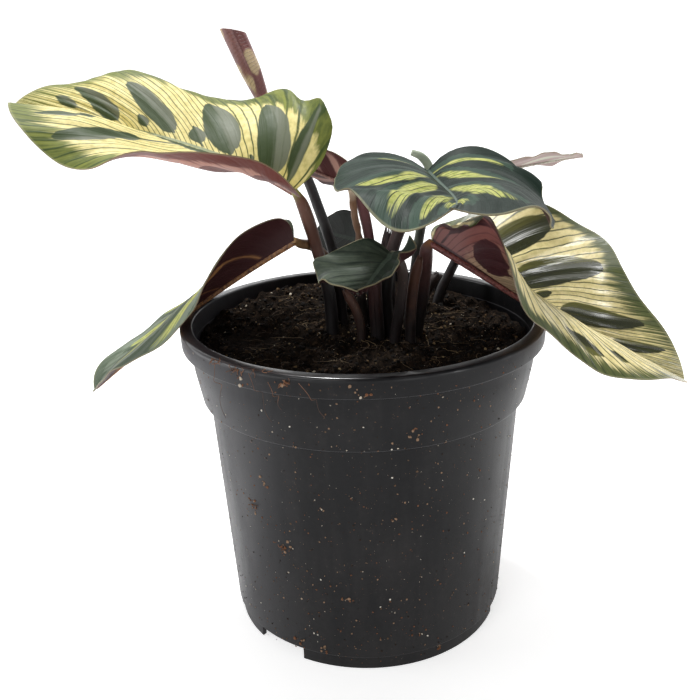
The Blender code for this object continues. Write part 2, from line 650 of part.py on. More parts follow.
def open_sheet(name, grid, thickness, colour):
    """A closed strip from a grid whose four edges all have the sheet's thickness."""
    rows, columns = grid.shape[:2]
    normal = np.cross(np.gradient(grid, axis=0), np.gradient(grid, axis=1))
    normal /= np.linalg.norm(normal, axis=2)[..., None]
    count = rows * columns
    points = np.vstack([(grid + normal * s * thickness / 2).reshape(-1, 3) for s in (1, -1)])
    faces = []
    for j in range(rows - 1):
        for i in range(columns - 1):
            a = j * columns + i
            for corner in ((a, a + 1, a + columns), (a + 1, a + columns + 1, a + columns)):
                faces += [corner, tuple(v + count for v in corner[::-1])]
    loop = [*range(columns), *range(2 * columns - 1, count, columns)]
    loop += [*range(count - 2, count - columns - 1, -1), *range(count - 2 * columns, 0, -columns)]
    for a, b in zip(loop, loop[1:] + loop[:1]):
        faces += [(a, b, b + count), (a, b + count, a + count)]
    return solid(name, points, faces, colour, 0.4)


def main():
    clear_scene()
    pot()
    for name, leaf in LEAVES.items():
        blade(name, leaf)
    rolled_blade()
    cut(soil(), stalks_and_shoots())


main()
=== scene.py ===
"""Looks of the potted peacock plant: patterned leaves, stalks, peat, nursery pot, dust and a small studio.

Run it as a script. Each button of its panel makes one piece, or one group of like pieces, again.
Properties are in metres and radians. Shapes are worked out in millimetres, with angles given in degrees.
"""

import math

import bpy
import numpy as np
from mathutils import Matrix, Vector, noise


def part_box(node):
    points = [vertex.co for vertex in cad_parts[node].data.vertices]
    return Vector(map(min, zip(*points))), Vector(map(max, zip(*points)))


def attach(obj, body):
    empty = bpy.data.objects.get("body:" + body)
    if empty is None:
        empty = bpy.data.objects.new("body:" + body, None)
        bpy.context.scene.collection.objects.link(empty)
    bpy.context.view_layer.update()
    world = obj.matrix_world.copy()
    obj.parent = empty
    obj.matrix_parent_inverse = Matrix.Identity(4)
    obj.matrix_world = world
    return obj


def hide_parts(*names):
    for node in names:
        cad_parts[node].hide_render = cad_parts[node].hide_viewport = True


bl_info = {
    "name": "Potted peacock plant",
    "version": (1, 0, 0),
    "blender": (4, 5, 0),
    "location": "3D View > Sidebar > Peacock plant",
    "description": "Makes the leaves, stalks, peat, pot, dust and studio of a potted peacock plant",
    "category": "Object",
}

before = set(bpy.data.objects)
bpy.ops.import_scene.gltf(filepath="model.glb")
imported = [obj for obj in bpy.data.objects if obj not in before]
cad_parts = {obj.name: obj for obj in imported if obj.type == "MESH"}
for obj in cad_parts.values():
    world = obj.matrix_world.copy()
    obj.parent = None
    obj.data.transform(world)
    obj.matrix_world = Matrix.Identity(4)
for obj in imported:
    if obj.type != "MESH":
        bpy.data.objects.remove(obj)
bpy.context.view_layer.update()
MM = 0.001
POT_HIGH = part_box("pot")[1]


def half(lift, curl, wave, phase, belly=(0, 0, 0, 0)):
    """A half blade: lift, curl and belly at four stations from base to tip, and its margin's wave."""
    return dict(lift=lift, curl=curl, wave=wave, phase=phase, belly=belly)


# Leaf shapes: where the midrib starts and how it turns, and the two halves that leave it
LEAVES = {
    "left_leaf": dict(
        base=(-26.1, 0, 186.1), length=128, width=100.6, lobe=0.16, heading=176, sway=-18,
        pitch=33, arch=-61, droop=40, roll=-43, twist=10.5,
        left=half((48, 26, 47, 54), (40, 37, -54, -15), -3.7, 105, (1, 0, -8, 2)),
        right=half((48, 6, 39, 26), (-62, -54, -119, -166), 2.2, -57),
    ),
    "centre_leaf": dict(
        base=(28.1, 8, 191), length=105.4, width=89.4, lobe=0.14, heading=281, sway=-25,
        pitch=-9, arch=36.5, droop=-21, roll=22.4, twist=-26,
        left=half((24, 20, 34, -15), (-93, -95, -128, 45), 0, 0),
        right=half((59, 54, 19, -41), (-57, -64, -19, 14), -1.1, 132),
    ),
    "right_leaf": dict(
        base=(28.6, -6, 165.8), length=129.2, width=88, lobe=0.1, heading=-8, sway=21,
        pitch=-32, arch=-13.6, droop=23.6, roll=-20, twist=44,
        left=half((27, 52, 13, 44), (7, 43, 78, 50), 3.8, 7),
        right=half((86, 30, 45, 36), (-85, -82, -85, -50), -4.4, 9),
    ),
    "drooping_leaf": dict(
        base=(-26.9, -6, 167.5), length=124.8, width=57.2, lobe=0.12, heading=179, sway=-29.6,
        pitch=-29.3, arch=-20, droop=10, roll=-45.5, twist=8.5,
        left=half((141, 78, 54, 26), (-127, -64, -65, 7), -5, 151),
        right=half((12, -5, -4, 58), (-96, -48, -71, -110), 8.8, -25),
    ),
    "front_leaf": dict(
        base=(11.7, -20, 164.2), length=43.4, width=41.7, lobe=0.06, heading=227, sway=44,
        pitch=-32, arch=24, droop=42.6, roll=21.6, twist=-7,
        left=half((-20, -18, 13, 15), (91, 91, 19, -1), 1.5, 62),
        right=half((64, 22, 42, 44), (44, 7, -16, -52), -3.8, 15),
    ),
    "inner_leaf": dict(
        base=(-2.8, 12.5, 185.3), length=44, width=28, lobe=0.05, heading=174, sway=0,
        pitch=25, arch=-6, droop=0, roll=40, twist=0,
        left=half((14, 12, 10, 10), (10, 10, 10, 10), 0.8, 20),
        right=half((14, 12, 10, 10), (10, 10, 10, 10), 0.8, 90),
    ),
    "back_leaf": dict(
        base=(61, 54, 183.5), length=50, width=34, lobe=0.05, heading=20, sway=0,
        pitch=7, arch=-6, droop=0, roll=-14, twist=0,
        left=half((15, 12, 10, 8), (-10, -10, -10, -10), 1.2, 40),
        right=half((15, 12, 10, 8), (-10, -10, -10, -10), 1.2, 140),
    ),
    "shaded_leaf": dict(
        base=(-1, 30, 158.6), length=25, width=24, lobe=0.05, heading=138, sway=0,
        pitch=6, arch=-5, droop=0, roll=-62, twist=0,
        left=half((8, 8, 8, 8), (-10, -10, -10, -10), 0.4, 0),
        right=half((8, 8, 8, 8), (-10, -10, -10, -10), 0.4, 60),
    ),
}
SPINE_STEPS = 60
FULL_LENGTH = 128
FULL_WIDTH = 100

# The blade's outline, and the way a side vein leaves the midrib and bends towards the margin
MARGIN_RISE = 0.5
MARGIN_FALL = 0.75
VEIN_RAKE = 3.6
VEIN_FAN = 50.0
VEIN_BEND_OUT = 0.75
VEIN_BEND_ALONG = 0.55

# Markings: each blotch is its half width in millimetres and then its way, as vein and reach in turn. A vein
# is counted from base 0 to tip 1 along the midrib, and reach from 0 on the midrib to 1 on the margin. Green
# starts at the rim's reach, given at even stations from base to tip. On a striped leaf the ways are pale and
# the rest is dark. Tones are those of ground, blotch, rim, rib and under side, all but the rib's followed by
# the deep tone. A blotch's tone and deep tone are also painted light and painted shade on the two sides of
# its vein. Optional are shine (specular level), gloss (roughness), polish (roughness taken off past the
# base), quilt (strength and pitch of the puffs) and under_far (the under side away from the base).
MARKS = {
    "left_leaf": dict(
        striped=False, shine=0.2, quilt=(1.5, 6.4),
        left=(
            (2.0, 0.46, 0.5, 0.4, 0.66, 0.37, 0.86),
            (4.0, 0.38, 0.3, 0.31, 0.6, 0.282, 0.86),
            (1.5, 0.2, 0.02, 0.34, 0.05, 0.5, 0.06),
            (6.0, 0.2, 0.1, 0.13, 0.3, 0.1, 0.6),
            (5.0, 0.1, 0.1, 0.06, 0.3, 0.04, 0.6),
        ),
        right=(
            (2.1, 0.655, 0.58, 0.61, 0.84),
            (3.9, 0.598, 0.2, 0.559, 0.5, 0.504, 0.84),
            (2.2, 0.492, 0.13, 0.488, 0.28),
            (5.0, 0.402, 0.1, 0.402, 0.37, 0.372, 0.68),
            (3.6, 0.308, 0.06, 0.305, 0.18),
            (7.0, 0.217, 0.04, 0.208, 0.25, 0.19, 0.54),
            (1.2, 0.148, 0.03, 0.148, 0.07),
            (6.6, 0.087, 0.02, 0.087, 0.24, 0.095, 0.54),
            (2.2, 0.034, 0.05, 0.036, 0.35, 0.03, 0.9),
        ),
        rim_left=(0.5, 0.74, 0.8, 0.82, 0.82, 0.8, 0.76, 0.7),
        rim_right=(0.55, 0.55, 0.66, 0.78, 0.84, 0.87, 0.88, 0.84),
        tones="e8da98 ccbf7a 6c7160 3a4829 80863f 3e4d25 8b9270 a87a6c 63352f",
    ),
    "centre_leaf": dict(
        striped=True, shine=0.1, gloss=0.42, quilt=(1.9, 8.0),
        left=(
            (2.0, 0.05, 0.14, 0.057, 0.26, 0.084, 0.5),
            (2.7, 0.1, 0.05, 0.184, 0.14, 0.217, 0.24, 0.212, 0.48),
            (3.4, 0.33, 0.05, 0.47, 0.3, 0.53, 0.62, 0.44, 0.88),
            (2.0, 0.7, 0.2, 0.72, 0.6),
        ),
        right=(
            (1.5, 0.05, 0.2, 0.07, 0.5),
            (3.0, 0.19, 0.1, 0.29, 0.38, 0.257, 0.62, 0.235, 0.8),
            (4.6, 0.36, 0.2, 0.392, 0.35, 0.396, 0.5, 0.419, 0.75, 0.425, 0.93),
            (2.6, 0.56, 0.2, 0.6, 0.5, 0.55, 0.9),
            (2.0, 0.75, 0.2, 0.76, 0.7),
        ),
        rim_left=(0.6, 0.7, 0.78, 0.86, 0.88, 0.86, 0.8),
        rim_right=(0.6, 0.78, 0.86, 0.92, 0.94, 0.9, 0.8),
        tones="b0b166 85903f 2f4236 17241d 25382d 13221b 5a675e 7c5a54 3c2424",
    ),
    "right_leaf": dict(
        striped=False, shine=0.9, gloss=0.4, polish=0.27, quilt=(1.6, 6.0),
        left=(
            (6.0, 0.05, 0.1, 0.05, 0.6),
            (6.6, 0.13, 0.1, 0.125, 0.45, 0.12, 0.78),
            (6.4, 0.262, 0.08, 0.255, 0.4, 0.262, 0.82),
            (2.1, 0.352, 0.1, 0.348, 0.26),
            (5.0, 0.452, 0.16, 0.44, 0.5, 0.438, 0.9),
            (3.0, 0.605, 0.42, 0.585, 0.7, 0.56, 0.93),
        ),
        right=(
            (2.6, 0.03, 0.15, 0.05, 0.7),
            (8.4, 0.082, 0.3, 0.135, 0.16, 0.2, 0.06),
            (3.2, 0.187, 0.68, 0.215, 0.75, 0.25, 0.8),
            (1.8, 0.289, 0.74, 0.306, 0.84),
            (2.6, 0.4, 0.2, 0.38, 0.6),
            (2.8, 0.55, 0.25, 0.5, 0.7),
        ),
        rim_left=(0.7, 0.86, 0.82, 0.86, 0.9, 0.92, 0.9, 0.8),
        rim_right=(0.75, 0.8, 0.9, 0.94, 0.95, 0.93, 0.9, 0.8),
        tones="eddea2 d0c282 5b5a1e 272b06 5c6434 38431c 8f9450 9c615a 4c262a", under_far="cdb18d",
    ),
    "drooping_leaf": dict(
        striped=True,
        left=(
            (2.2, 0.12, 0.35, 0.17, 0.7, 0.2, 0.95),
            (2.4, 0.3, 0.3, 0.36, 0.6, 0.34, 0.9),
            (2.0, 0.5, 0.3, 0.52, 0.8),
            (1.8, 0.7, 0.2, 0.72, 0.7),
        ),
        right=(
            (2.0, 0.1, 0.3, 0.14, 0.7),
            (2.4, 0.3, 0.2, 0.34, 0.7),
            (2.2, 0.5, 0.2, 0.52, 0.75),
            (1.6, 0.7, 0.2, 0.72, 0.7),
        ),
        rim_left=(0.8, 0.9, 0.93, 0.93, 0.9, 0.85),
        rim_right=(0.8, 0.86, 0.88, 0.88, 0.86, 0.8),
        tones="c4c872 a9b25a 747f6e 4d5b48 858f80 5f6e58 8d967c a5764a 3b1f20",
    ),
    "front_leaf": dict(
        striped=True, shine=0.16, quilt=(3.6, 4.6), left=(), right=(),
        rim_left=(0.85, 0.85), rim_right=(0.7, 0.8),
        tones="65705f 4e5a50 56604f 2c362d 6b7c5c 36442f 4a564a 4c3432 2e1a1a",
    ),
    "inner_leaf": dict(
        striped=True,
        left=((1.5, 0.1, 0.1, 0.12, 0.9), (1.3, 0.3, 0.1, 0.32, 0.9), (1.2, 0.5, 0.1, 0.5, 0.9)),
        right=((1.5, 0.15, 0.1, 0.16, 0.9), (1.3, 0.35, 0.1, 0.36, 0.9), (1.0, 0.6, 0.1, 0.6, 0.9)),
        rim_left=(0.9, 0.9), rim_right=(0.9, 0.9),
        tones="c3b489 a99a6c 5d6a52 3c4a34 66745a 4a5a3c 8d9b6c b48c80 54302f",
    ),
    "back_leaf": dict(
        striped=True,
        left=((1.6, 0.2, 0.1, 0.22, 0.9), (1.4, 0.5, 0.1, 0.5, 0.9)),
        right=((1.6, 0.3, 0.1, 0.3, 0.9), (1.2, 0.6, 0.1, 0.6, 0.9)),
        rim_left=(0.9, 0.9), rim_right=(0.9, 0.9),
        tones="c2c29a a3a57c 8b9382 6c755f 9aa38c 77826a a3ab90 b5b6a4 94807a",
    ),
    "shaded_leaf": dict(
        striped=True, left=(), right=(),
        rim_left=(0.9, 0.9), rim_right=(0.9, 0.9),
        # Tones darkened to near black: painted shade
        tones="1c241e 161d18 18201a 0d120f 1a221c 0f1512 1f2721 382626 221415",
    ),
}

# Dents: where the photograph's margin leaves the even curves. Each has its half (1 left, -1 right), margin
# share from base to tip, reach, their two spreads, and how far it moves the blade there.
DENTS = {
    "left_leaf": (
        (-1, 0.1, 1.0, 0.03, 0.35, (0.5, 0, 4.6)),
        (-1, 0.058, 1.0, 0.022, 0.35, (1.6, 0, 2.4)),
        (-1, 0.158, 1.0, 0.03, 0.3, (-1.5, 0, -2.6)),
        (-1, 0.7, 1.0, 0.07, 0.4, (0, 0, 1.8)),
        (1, 0.93, 1.0, 0.11, 1.2, (2.2, 0, 0)),
        (-1, 0.97, 1.0, 0.06, 1.2, (2.2, 0, 0)),
    ),
    "centre_leaf": (
        (1, 0.06, 1.0, 0.08, 0.5, (0, 0, 1.0)),
        (1, 0.225, 1.0, 0.035, 0.35, (3.2, 0, 2.2)),
        (-1, 0.08, 1.0, 0.1, 0.5, (0, 0, 0.8)),
    ),
    "right_leaf": (
        (-1, 0.14, 0.8, 0.12, 0.4, (-2.2, -1.0, -1.8)),
        (-1, 0.035, 1.0, 0.022, 0.55, (0, 0, -8.0)),
        (-1, 0.075, 1.0, 0.03, 0.55, (0, 0, -9.0)),
    ),
    "front_leaf": (
        (1, 0.12, 1.0, 0.08, 0.6, (1.2, 0, 4.4)),
        (1, 0.26, 1.0, 0.1, 0.7, (5.0, 0, 0.6)),
        (1, 0.52, 1.0, 0.08, 0.5, (-1.0, 0, -1.5)),
        (-1, 0.28, 1.0, 0.08, 0.4, (0, 0, 1.0)),
        (-1, 0.42, 1.0, 0.06, 0.5, (-1.4, 0, 1.2)),
        (-1, 0.55, 1.0, 0.06, 0.4, (0, 0, -1.0)),
    ),
    "back_leaf": (
        (1, 0.4, 1.0, 0.16, 0.6, (0, 0, -2.4)),
        (1, 0.8, 1.0, 0.08, 0.6, (0, 0, -2.4)),
        (-1, 0.2, 1.0, 0.1, 0.6, (0, 0, 1.5)),
    ),
}

# Stalks run from the root end up, with radii at the root, middle and end, and tones low down, high up and at
# the tip. The low tones, and the sheaths' tones, are the plant's own dark colour deepened with painted shade
# deep in the clump. A neck is the way from the blade's base back to its stalk. A shoot names its slot, and
# the dried one has the seed and the height of its knobs.
STALKS = {
    "left_leaf": dict(
        points=(
            (-13, 6), (-13, 6, 128), (-13.6, 6, 139),
            (-15.2, 5, 150), (-17.7, 3, 160), (-20.3, 1, 171),
        ),
        radii=(3.0, 2.4, 1.5), neck=(3.0, 0.2, -5.6), low="0f0a0c", high="603a2a", tip="8f8a45",
    ),
    "centre_leaf": dict(
        points=((12, 3), (11, 3, 128), (10, 3, 138), (10.8, 3, 149), (13.8, 3.6, 162), (18.6, 6, 173)),
        radii=(3.4, 2.4, 1.3), neck=(-3.4, 2.6, -7.0), low="0d090a", high="4a2f2c", tip="6c6a52",
    ),
    "right_leaf": dict(
        points=((22.5, -1), (22.7, -1, 127), (24.6, -1.2, 138), (26, -2.4, 149), (26.3, -4.2, 157.5)),
        radii=(3.3, 2.5, 1.3), neck=(-2.0, 0.2, -3.2), low="100a0b", high="54322f", tip="8f5f38",
    ),
    "drooping_leaf": dict(
        points=(
            (-8.5, 13), (-8.5, 13, 130), (-10, 12.5, 143),
            (-13.5, 11, 154), (-17.6, 9.5, 159.6), (-21.6, 6, 162.6),
        ),
        radii=(2.7, 1.8, 1.2), neck=(2.3, 5.4, -2.8), low="140c0e", high="8a6a4a", tip="a07c50",
    ),
    "front_leaf": dict(
        points=(
            (13, -10), (13.2, -10.5, 127), (14.6, -11.7, 137),
            (16.2, -13.6, 149.5), (15.8, -15.6, 157),
        ),
        radii=(2.7, 1.9, 1.2), neck=(1.9, 2.3, -2.2), low="170e0f", high="3d302a", tip="6f6c58",
    ),
    "inner_leaf": dict(
        points=(
            (3.6, 9.6), (4.2, 9.7, 129), (4.6, 10, 140),
            (4.6, 10.8, 152), (3.8, 11.4, 163.5), (1.6, 12, 175.5),
        ),
        radii=(2.7, 2.0, 1.1), neck=(1.9, -0.4, -2.8), low="0f090b", high="6e4042", tip="8a5550",
    ),
    "back_leaf": dict(
        points=((34, 37), (36.5, 38, 130), (41.4, 40, 140), (46.8, 43.5, 150), (52, 48, 163)),
        radii=(2.6, 2.0, 1.1), neck=(-3.4, -2.0, -4.4), low="0f090b", high="3d2427", tip="8c6560",
    ),
    "shaded_leaf": dict(
        points=((-1, 16.5), (-0.8, 18, 129), (0.6, 23, 139), (1.7, 28.5, 149)),
        radii=(2.0, 1.6, 1.0), neck=(1.8, 0.8, -3.8), low="0c0809", high="2c1c1e", tip="3d3a34",
    ),
    "rolled_leaf": dict(
        points=(
            (-9, 20), (-9, 20, 130), (-9.4, 20.3, 141), (-11, 21.4, 153), (-14.1, 23, 164.4),
            (-17.8, 28, 174.6), (-21.5, 33, 184.4), (-27, 39.5, 195.5), (-34, 46, 206.5),
        ),
        radii=(2.8, 2.1, 1.7), end=(-40.42, 51.11, 217.05), low="0b0809", high="1f1517", tip="5a3a3c",
    ),
}
SHOOTS = {
    "dry_stalk": dict(
        slot="dry_stalk", knobs=(3, 0.0016),
        points=(
            (-0.3, 2.8), (-0.1, 3.4, 128), (0.4, 5, 150),
            (-0.4, 6.4, 163.4), (-2.2, 8, 174), (-2.9, 9, 184.6),
        ),
        radii=(1.9, 1.5, 1.9), low="241913", high="7c5a40", tip="b8a58c",
    ),
    "young_spear": dict(
        slot="spear",
        points=(
            (20.5, 11.5), (20.8, 12.3, 129), (23, 16.5, 144), (25.5, 20.5, 160), (28, 22.5, 172),
            (30.6, 24, 183), (30.2, 25, 190.5), (27, 25, 195), (22.8, 25, 197),
        ),
        radii=(2.6, 1.9, 1.3), low="0e090a", high="7f8a76", tip="a3ad98",
    ),
}
SHEATHS = {
    "sheath_left": dict(
        points=((-0.8, -6.2), (-0.6, -6.2, 128), (-2.6, -6, 137), (-5.4, -5.4, 142.5), (-7.6, -5, 146)),
        radii=(2.2, 2.0, 0.9), low="160d0a", high="4a2c20",
    ),
    "sheath_front": dict(
        points=((6.2, -4), (6.2, -4, 128), (5.6, -4.5, 140), (5.6, -5, 150), (6.4, -5.4, 158)),
        radii=(3.3, 3.0, 1.6), low="0f0809", high="43201e",
    ),
    "sheath_middle": dict(
        points=((12, 11.6), (11.8, 11.6, 128), (11.4, 11.6, 141), (11.6, 11.6, 155), (12.2, 11.8, 168)),
        radii=(3.2, 3.2, 1.6), low="0a0708", high="241516",
    ),
    "sheath_right": dict(
        points=((19.8, -9), (19.5, -9, 128), (20, -9.2, 140), (21.2, -10.4, 151), (23.5, -12, 161)),
        radii=(2.7, 2.3, 1.2), low="11090a", high="553322",
    ),
    "sheath_back": dict(
        points=((27, 27), (27.4, 27, 128), (30, 27.6, 136), (35.5, 29, 143)),
        radii=(2.9, 2.6, 1.8), low="0b0708", high="241815",
    ),
}
ROOT_DEPTH = 108.0
ROOT_STRAIGHT = 8.0
STALK_SHARES = (0, 0.3, 0.93, 1)
STALK_HAIRS = "8a7466"
SWELLING = 0.12
SWELLING_PLACE = 0.84
SWELLING_SPREAD = 0.09
KNOBS_PER_METRE = 260
SHEATH_SEED = 30
SHEATH_SHARES = (0, 0.3, 0.9, 1)
SHEATH_TURN = (-70, 290)
SHEATH_COLUMNS = 41
SHEATH_TEAR = 0.09
SHEATH_THICKNESS = 0.3
SHEATH_RIBS = "8b6a50"

# Blade marking and relief, in millimetres but for the bumps, and what a leaf has where its marks say nothing
MARK_FIELD = 4.0
FAR_OFF = 1e9
WAY_POINTS = 9
STEM_HALF_WIDTH = 0.35
BROAD = 2.5
VALLEY_REACH = 1.7
# Painted shade: extra darkening of the blotch tone on every left half
LEFT_PAINTED_SHADE = 0.4
PLAIN_QUILT = (1.0, 7.0)
PLAIN_SHINE = 0.28
PLAIN_GLOSS = 0.46
CRIMPS = 7
CRIMP_HEIGHT = 0.3
CRIMP_LENGTH = 60
UPPER_BUMP = 0.00012
UNDER_BUMP = -0.00016
MARGIN_LINE = "a3a07c"
FULL_RIB_LENGTH = 90
RIB_RADIUS = 1.15
RIB_TIP_RADIUS = 0.22
RIB_GAP = 0.05

# The rolled new leaf is a sheet wound round its own axis, a little more than once
ROLLED_AXIS = ((-40.2, 51.0, 216.5), (-46.2, 54.0, 231.5), (-53.0, 57.5, 247.5))
ROLLED_RADII = (2.6, 4.6, 5.0)
ROLLED_START = 40.0
ROLLED_TURN = 415.0
ROLLED_COLUMNS = 61
ROLLED_INNER = 0.88
ROLLED_LAP = 0.14
ROLLED_TOP_SLANT = 3.0
ROLLED_THICKNESS = 0.45

# Soil. The dip and the mound have a middle, a spread and a height. The peat's wall has radii and heights.
SOIL_LEVEL = 124.5
SOIL_BACK_RISE = 4.5
SOIL_LEFT_RISE = 1.5
SOIL_SPAN = 70.8
SOIL_DIP = (-46.0, 4.0, 17.0, -5.0)
SOIL_MOUND = (-30.0, 50.0, 24.0, 2.0)
DIP_CALM = 0.75
EDGE_START = 60
EDGE_WIDTH = 8
EDGE_DROP = 0.8
PEAT_WALL = ((20.0, 8.0), (57.0, 8.0), (63.6, 100.0), (67.2, 107.0), (69.7, 118.0))
PEAT_RADIUS = 69.7
PEAT_SIDES = 240
PEAT_RINGS = 72

# Crumbs and fibres. The stops say from which shade a crumb has which tone.
CRUMB_REACH = 66.5
BARE_RADIUS = 12
BARE_SHARE = 0.85
PALE_CRUMB = 0.87
PEAT_STOPS = (
    (0, "0c0a08"), (0.42, "201811"), (0.7, "3a2d20"), (0.87, "5e4c34"), (0.95, "8a7858"), (0.985, "c6beab"),
)
WALL_STOPS = (
    (0, "2a211b"), (0.25, "5c4a3a"), (0.45, "6e4a34"), (0.7, "8a705a"), (0.9, "b5aa9a"), (0.97, "d8d2c6"),
)
FIBRE_REACH = 58
FIBRE_LIMIT = 68
FIBRE_STEPS = 9
FIBRE_BEND = 0.5

# The pot's profile as (radius, height, fillet): out along its underside, up the wall and down inside
POT_CORNERS = (
    (8.0, 0, 0), (8.8, 6.0, 0.5), (56.3, 6.0, 0.5), (56.5, 0, 0.3), (58.5, 0, 0.5), (58.5, 6.0, 0.3),
    (59.9, 6.2, 0.7), (65.8, 102.4, 0.5), (68.7, 102.9, 0.7), (71.5, 117.9, 3.0), (71.9, 126.1, 0.3),
    (75.6, 126.3, 0.5), (76.0, 134.3, 1.3), (70.8, 134.3, 0.9), (70.3, 126.3, 0.5), (70.0, 118.0, 2.0),
    (67.3, 104.4, 0.4), (64.4, 102.9, 0.6), (58.6, 8.0, 0.8), (30.0, 7.5, 0),
)
WALL_HEIGHTS = (0, 6, 6.4, 102.4, 102.9, 118, 126, 126.3, 134.3)
WALL_RADII = (58.5, 58.5, 60, 65.8, 68.8, 71.5, 71.9, 75.6, 76.0)
RIM_HEIGHT = POT_HIGH.z / MM
WALL_CLEARANCE = 0.25
NOTCH_ANGLES = (109, 229, 349)
NOTCH_DEPTH = 12 * MM
FOOT_RADIUS = 58 * MM
DRAIN_ANGLES = (11, 71, 131, 191, 251, 311)
DRAIN_RING = 40 * MM
DRAIN_RADIUS = 4.5 * MM
DRAIN_DEPTH = 8 * MM
DRAIN_LEVEL = 6 * MM

# Finish of the pot, in metres: painted highlight lines under the step and the skirt, the lip's heights and
# the reach of the left side's lightening, which is painted sheen with dust
STEP_HIGHLIGHT = 0.1027
SKIRT_HIGHLIGHT = 0.1262
LIP_HEIGHTS = (0.1322, 0.134)
LEFT_SHEEN_AND_DUST_REACH = (0.02, 0.072)

# Splashes on the wall: angle, height, spread and count. Other specks lie round a middle angle, with a spread.
SPLASHES = (
    (224.5, 69.4, 3.2, 14), (237.5, 54.6, 3.0, 14), (231.9, 82.8, 2.0, 6), (253.5, 76.4, 1.4, 4),
    (278.6, 71.8, 1.4, 4), (260.8, 36.1, 2.4, 7), (240.6, 10.4, 2.2, 6), (251.4, 8.6, 2.2, 7),
    (299.0, 4.5, 2.0, 8), (233.8, 129.5, 2.0, 8), (247.4, 130.5, 1.6, 8), (268.0, 127.2, 3.0, 10),
    (287.0, 17.0, 3.0, 8), (283.0, 108.0, 5.0, 9),
)
SPECKLED_SIDE = (265, 45)
SPECKLED_SHARE = 0.8

# Fibre clumps: angle, height, count and length. Hanging hairs: angle, top, drop and swing.
FIBRE_CLUMPS = (
    (224, 134.5, 9, 5), (233, 132.8, 16, 5), (240, 134.6, 7, 5), (247.4, 131.2, 9, 4),
    (224.5, 69.4, 6, 3), (237.5, 54.6, 6, 3),
)
HANGING_HAIRS = ((224, 133.5, 26, -3), (237, 133, 20, 5), (252, 132, 14, 7), (243, 131, 12, 3))

# Studio, in metres. A soft light has its name, place, aim, size and power.
FLOOR_SIZE = (6, 4)
BACKDROP_HEIGHT = 3.0
BACKDROP_BEND = 0.8
AIR_STRENGTH = 0.3
SOFT_LIGHTS = (
    ("key", (-0.15, 0.32, 1.15), (0, 0, 0.15), 0.16, 14),
    ("front_fill", (-0.7, -1.2, 0.9), (0, 0, 0.1), 0.8, 6),
    ("side_fill", (-1.3, -0.1, 0.4), (0, 0, 0.08), 0.6, 4),
)
GLINT_PLACE = (0.48, -0.36, 0.125)
GLINT_AIM = (0.105, -0.03, 0.165)
GLINT_CONE = 24
GLINT_POWER = 5.0


def tone(code):
    """A linear colour from a hex code."""
    shares = [int(code[k : k + 2], 16) / 255 for k in (0, 2, 4)]
    return (*[c / 12.92 if c <= 0.04045 else ((c + 0.055) / 1.055) ** 2.4 for c in shares], 1.0)


def arithmetic(operation, swapped=False):
    """The method for one of Python's operators: it adds a Math node, where the link comes last if swapped."""

    def method(link, *other):
        values = (*other, link) if swapped else (link, *other)
        return link.paint.node("ShaderNodeMath", {"operation": operation}, values)

    return method


class Link:
    """A node's output, which takes part in Python arithmetic."""

    __add__ = arithmetic("ADD")
    __radd__ = arithmetic("ADD", True)
    __sub__ = arithmetic("SUBTRACT")
    __rsub__ = arithmetic("SUBTRACT", True)
    __mul__ = arithmetic("MULTIPLY")
    __rmul__ = arithmetic("MULTIPLY", True)
    __truediv__ = arithmetic("DIVIDE")
    __rtruediv__ = arithmetic("DIVIDE", True)
    __abs__ = arithmetic("ABSOLUTE")
    fraction = arithmetic("FRACT")

    def __init__(self, paint, socket):
        self.paint = paint
        self.socket = socket

    def between(self, low, high):
        """0 below low, 1 above high, and smooth between them."""
        settings = {"interpolation_type": "SMOOTHSTEP"}
        return self.paint.node("ShaderNodeMapRange", settings, (self, low, high, 0.0, 1.0))


class Paint:
    """A material and short ways to add its nodes."""

    def __init__(self, name, **fixed):
        self.material = bpy.data.materials.new(name)
        self.material.use_nodes = True
        self.nodes = self.material.node_tree.nodes
        self.links = self.material.node_tree.links
        self.shader = self.nodes["Principled BSDF"]
        for socket, value in fixed.items():
            self.shader.inputs[socket.replace("_", " ")].default_value = value

    def node(self, kind, settings, values, output=0):
        """A new node with its settings first, then values or links for its sockets."""
        made = self.nodes.new(kind)
        for key, value in settings.items():
            setattr(made, key, value)
        pairs = values.items() if isinstance(values, dict) else enumerate(values)
        for key, value in pairs:
            if isinstance(value, Link):
                self.links.new(value.socket, made.inputs[key])
            else:
                made.inputs[key].default_value = value
        return Link(self, made.outputs[output])

    def attribute(self, name, output="Fac"):
        return self.node("ShaderNodeAttribute", {"attribute_name": name}, (), output)

    def place(self):
        return self.node("ShaderNodeTexCoord", {}, (), "Object")

    def axis(self, vector, letter):
        return self.node("ShaderNodeSeparateXYZ", {}, (vector,), letter)

    def vector(self, x, y):
        return self.node("ShaderNodeCombineXYZ", {}, (x, y))

    def upright(self, share):
        """Object coordinates pressed together along Z, in which noise is drawn out into upright streaks."""
        values = (self.place(), (1.0, 1.0, share))
        return self.node("ShaderNodeVectorMath", {"operation": "MULTIPLY"}, values)

    def noise(self, vector, scale, detail=2.0, roughness=0.5):
        values = {"Vector": vector, "Scale": scale, "Detail": detail, "Roughness": roughness}
        return self.node("ShaderNodeTexNoise", {}, values)

    def mix(self, share, first, second):
        """A blend of two colours, each of them a link, a colour or a hex code."""
        first, second = (tone(colour) if isinstance(colour, str) else colour for colour in (first, second))
        return self.node("ShaderNodeMix", {"data_type": "RGBA"}, {0: share, 6: first, 7: second}, 2)

    def bump(self, height, distance, strength=1.0):
        return self.node("ShaderNodeBump", {}, {"Height": height, "Distance": distance, "Strength": strength})

    def finish(self, **sockets):
        for socket, link in sockets.items():
            self.links.new(link.socket, self.shader.inputs[socket.replace("_", " ")])
        return self.material


def deselect():
    bpy.ops.object.select_all(action="DESELECT")


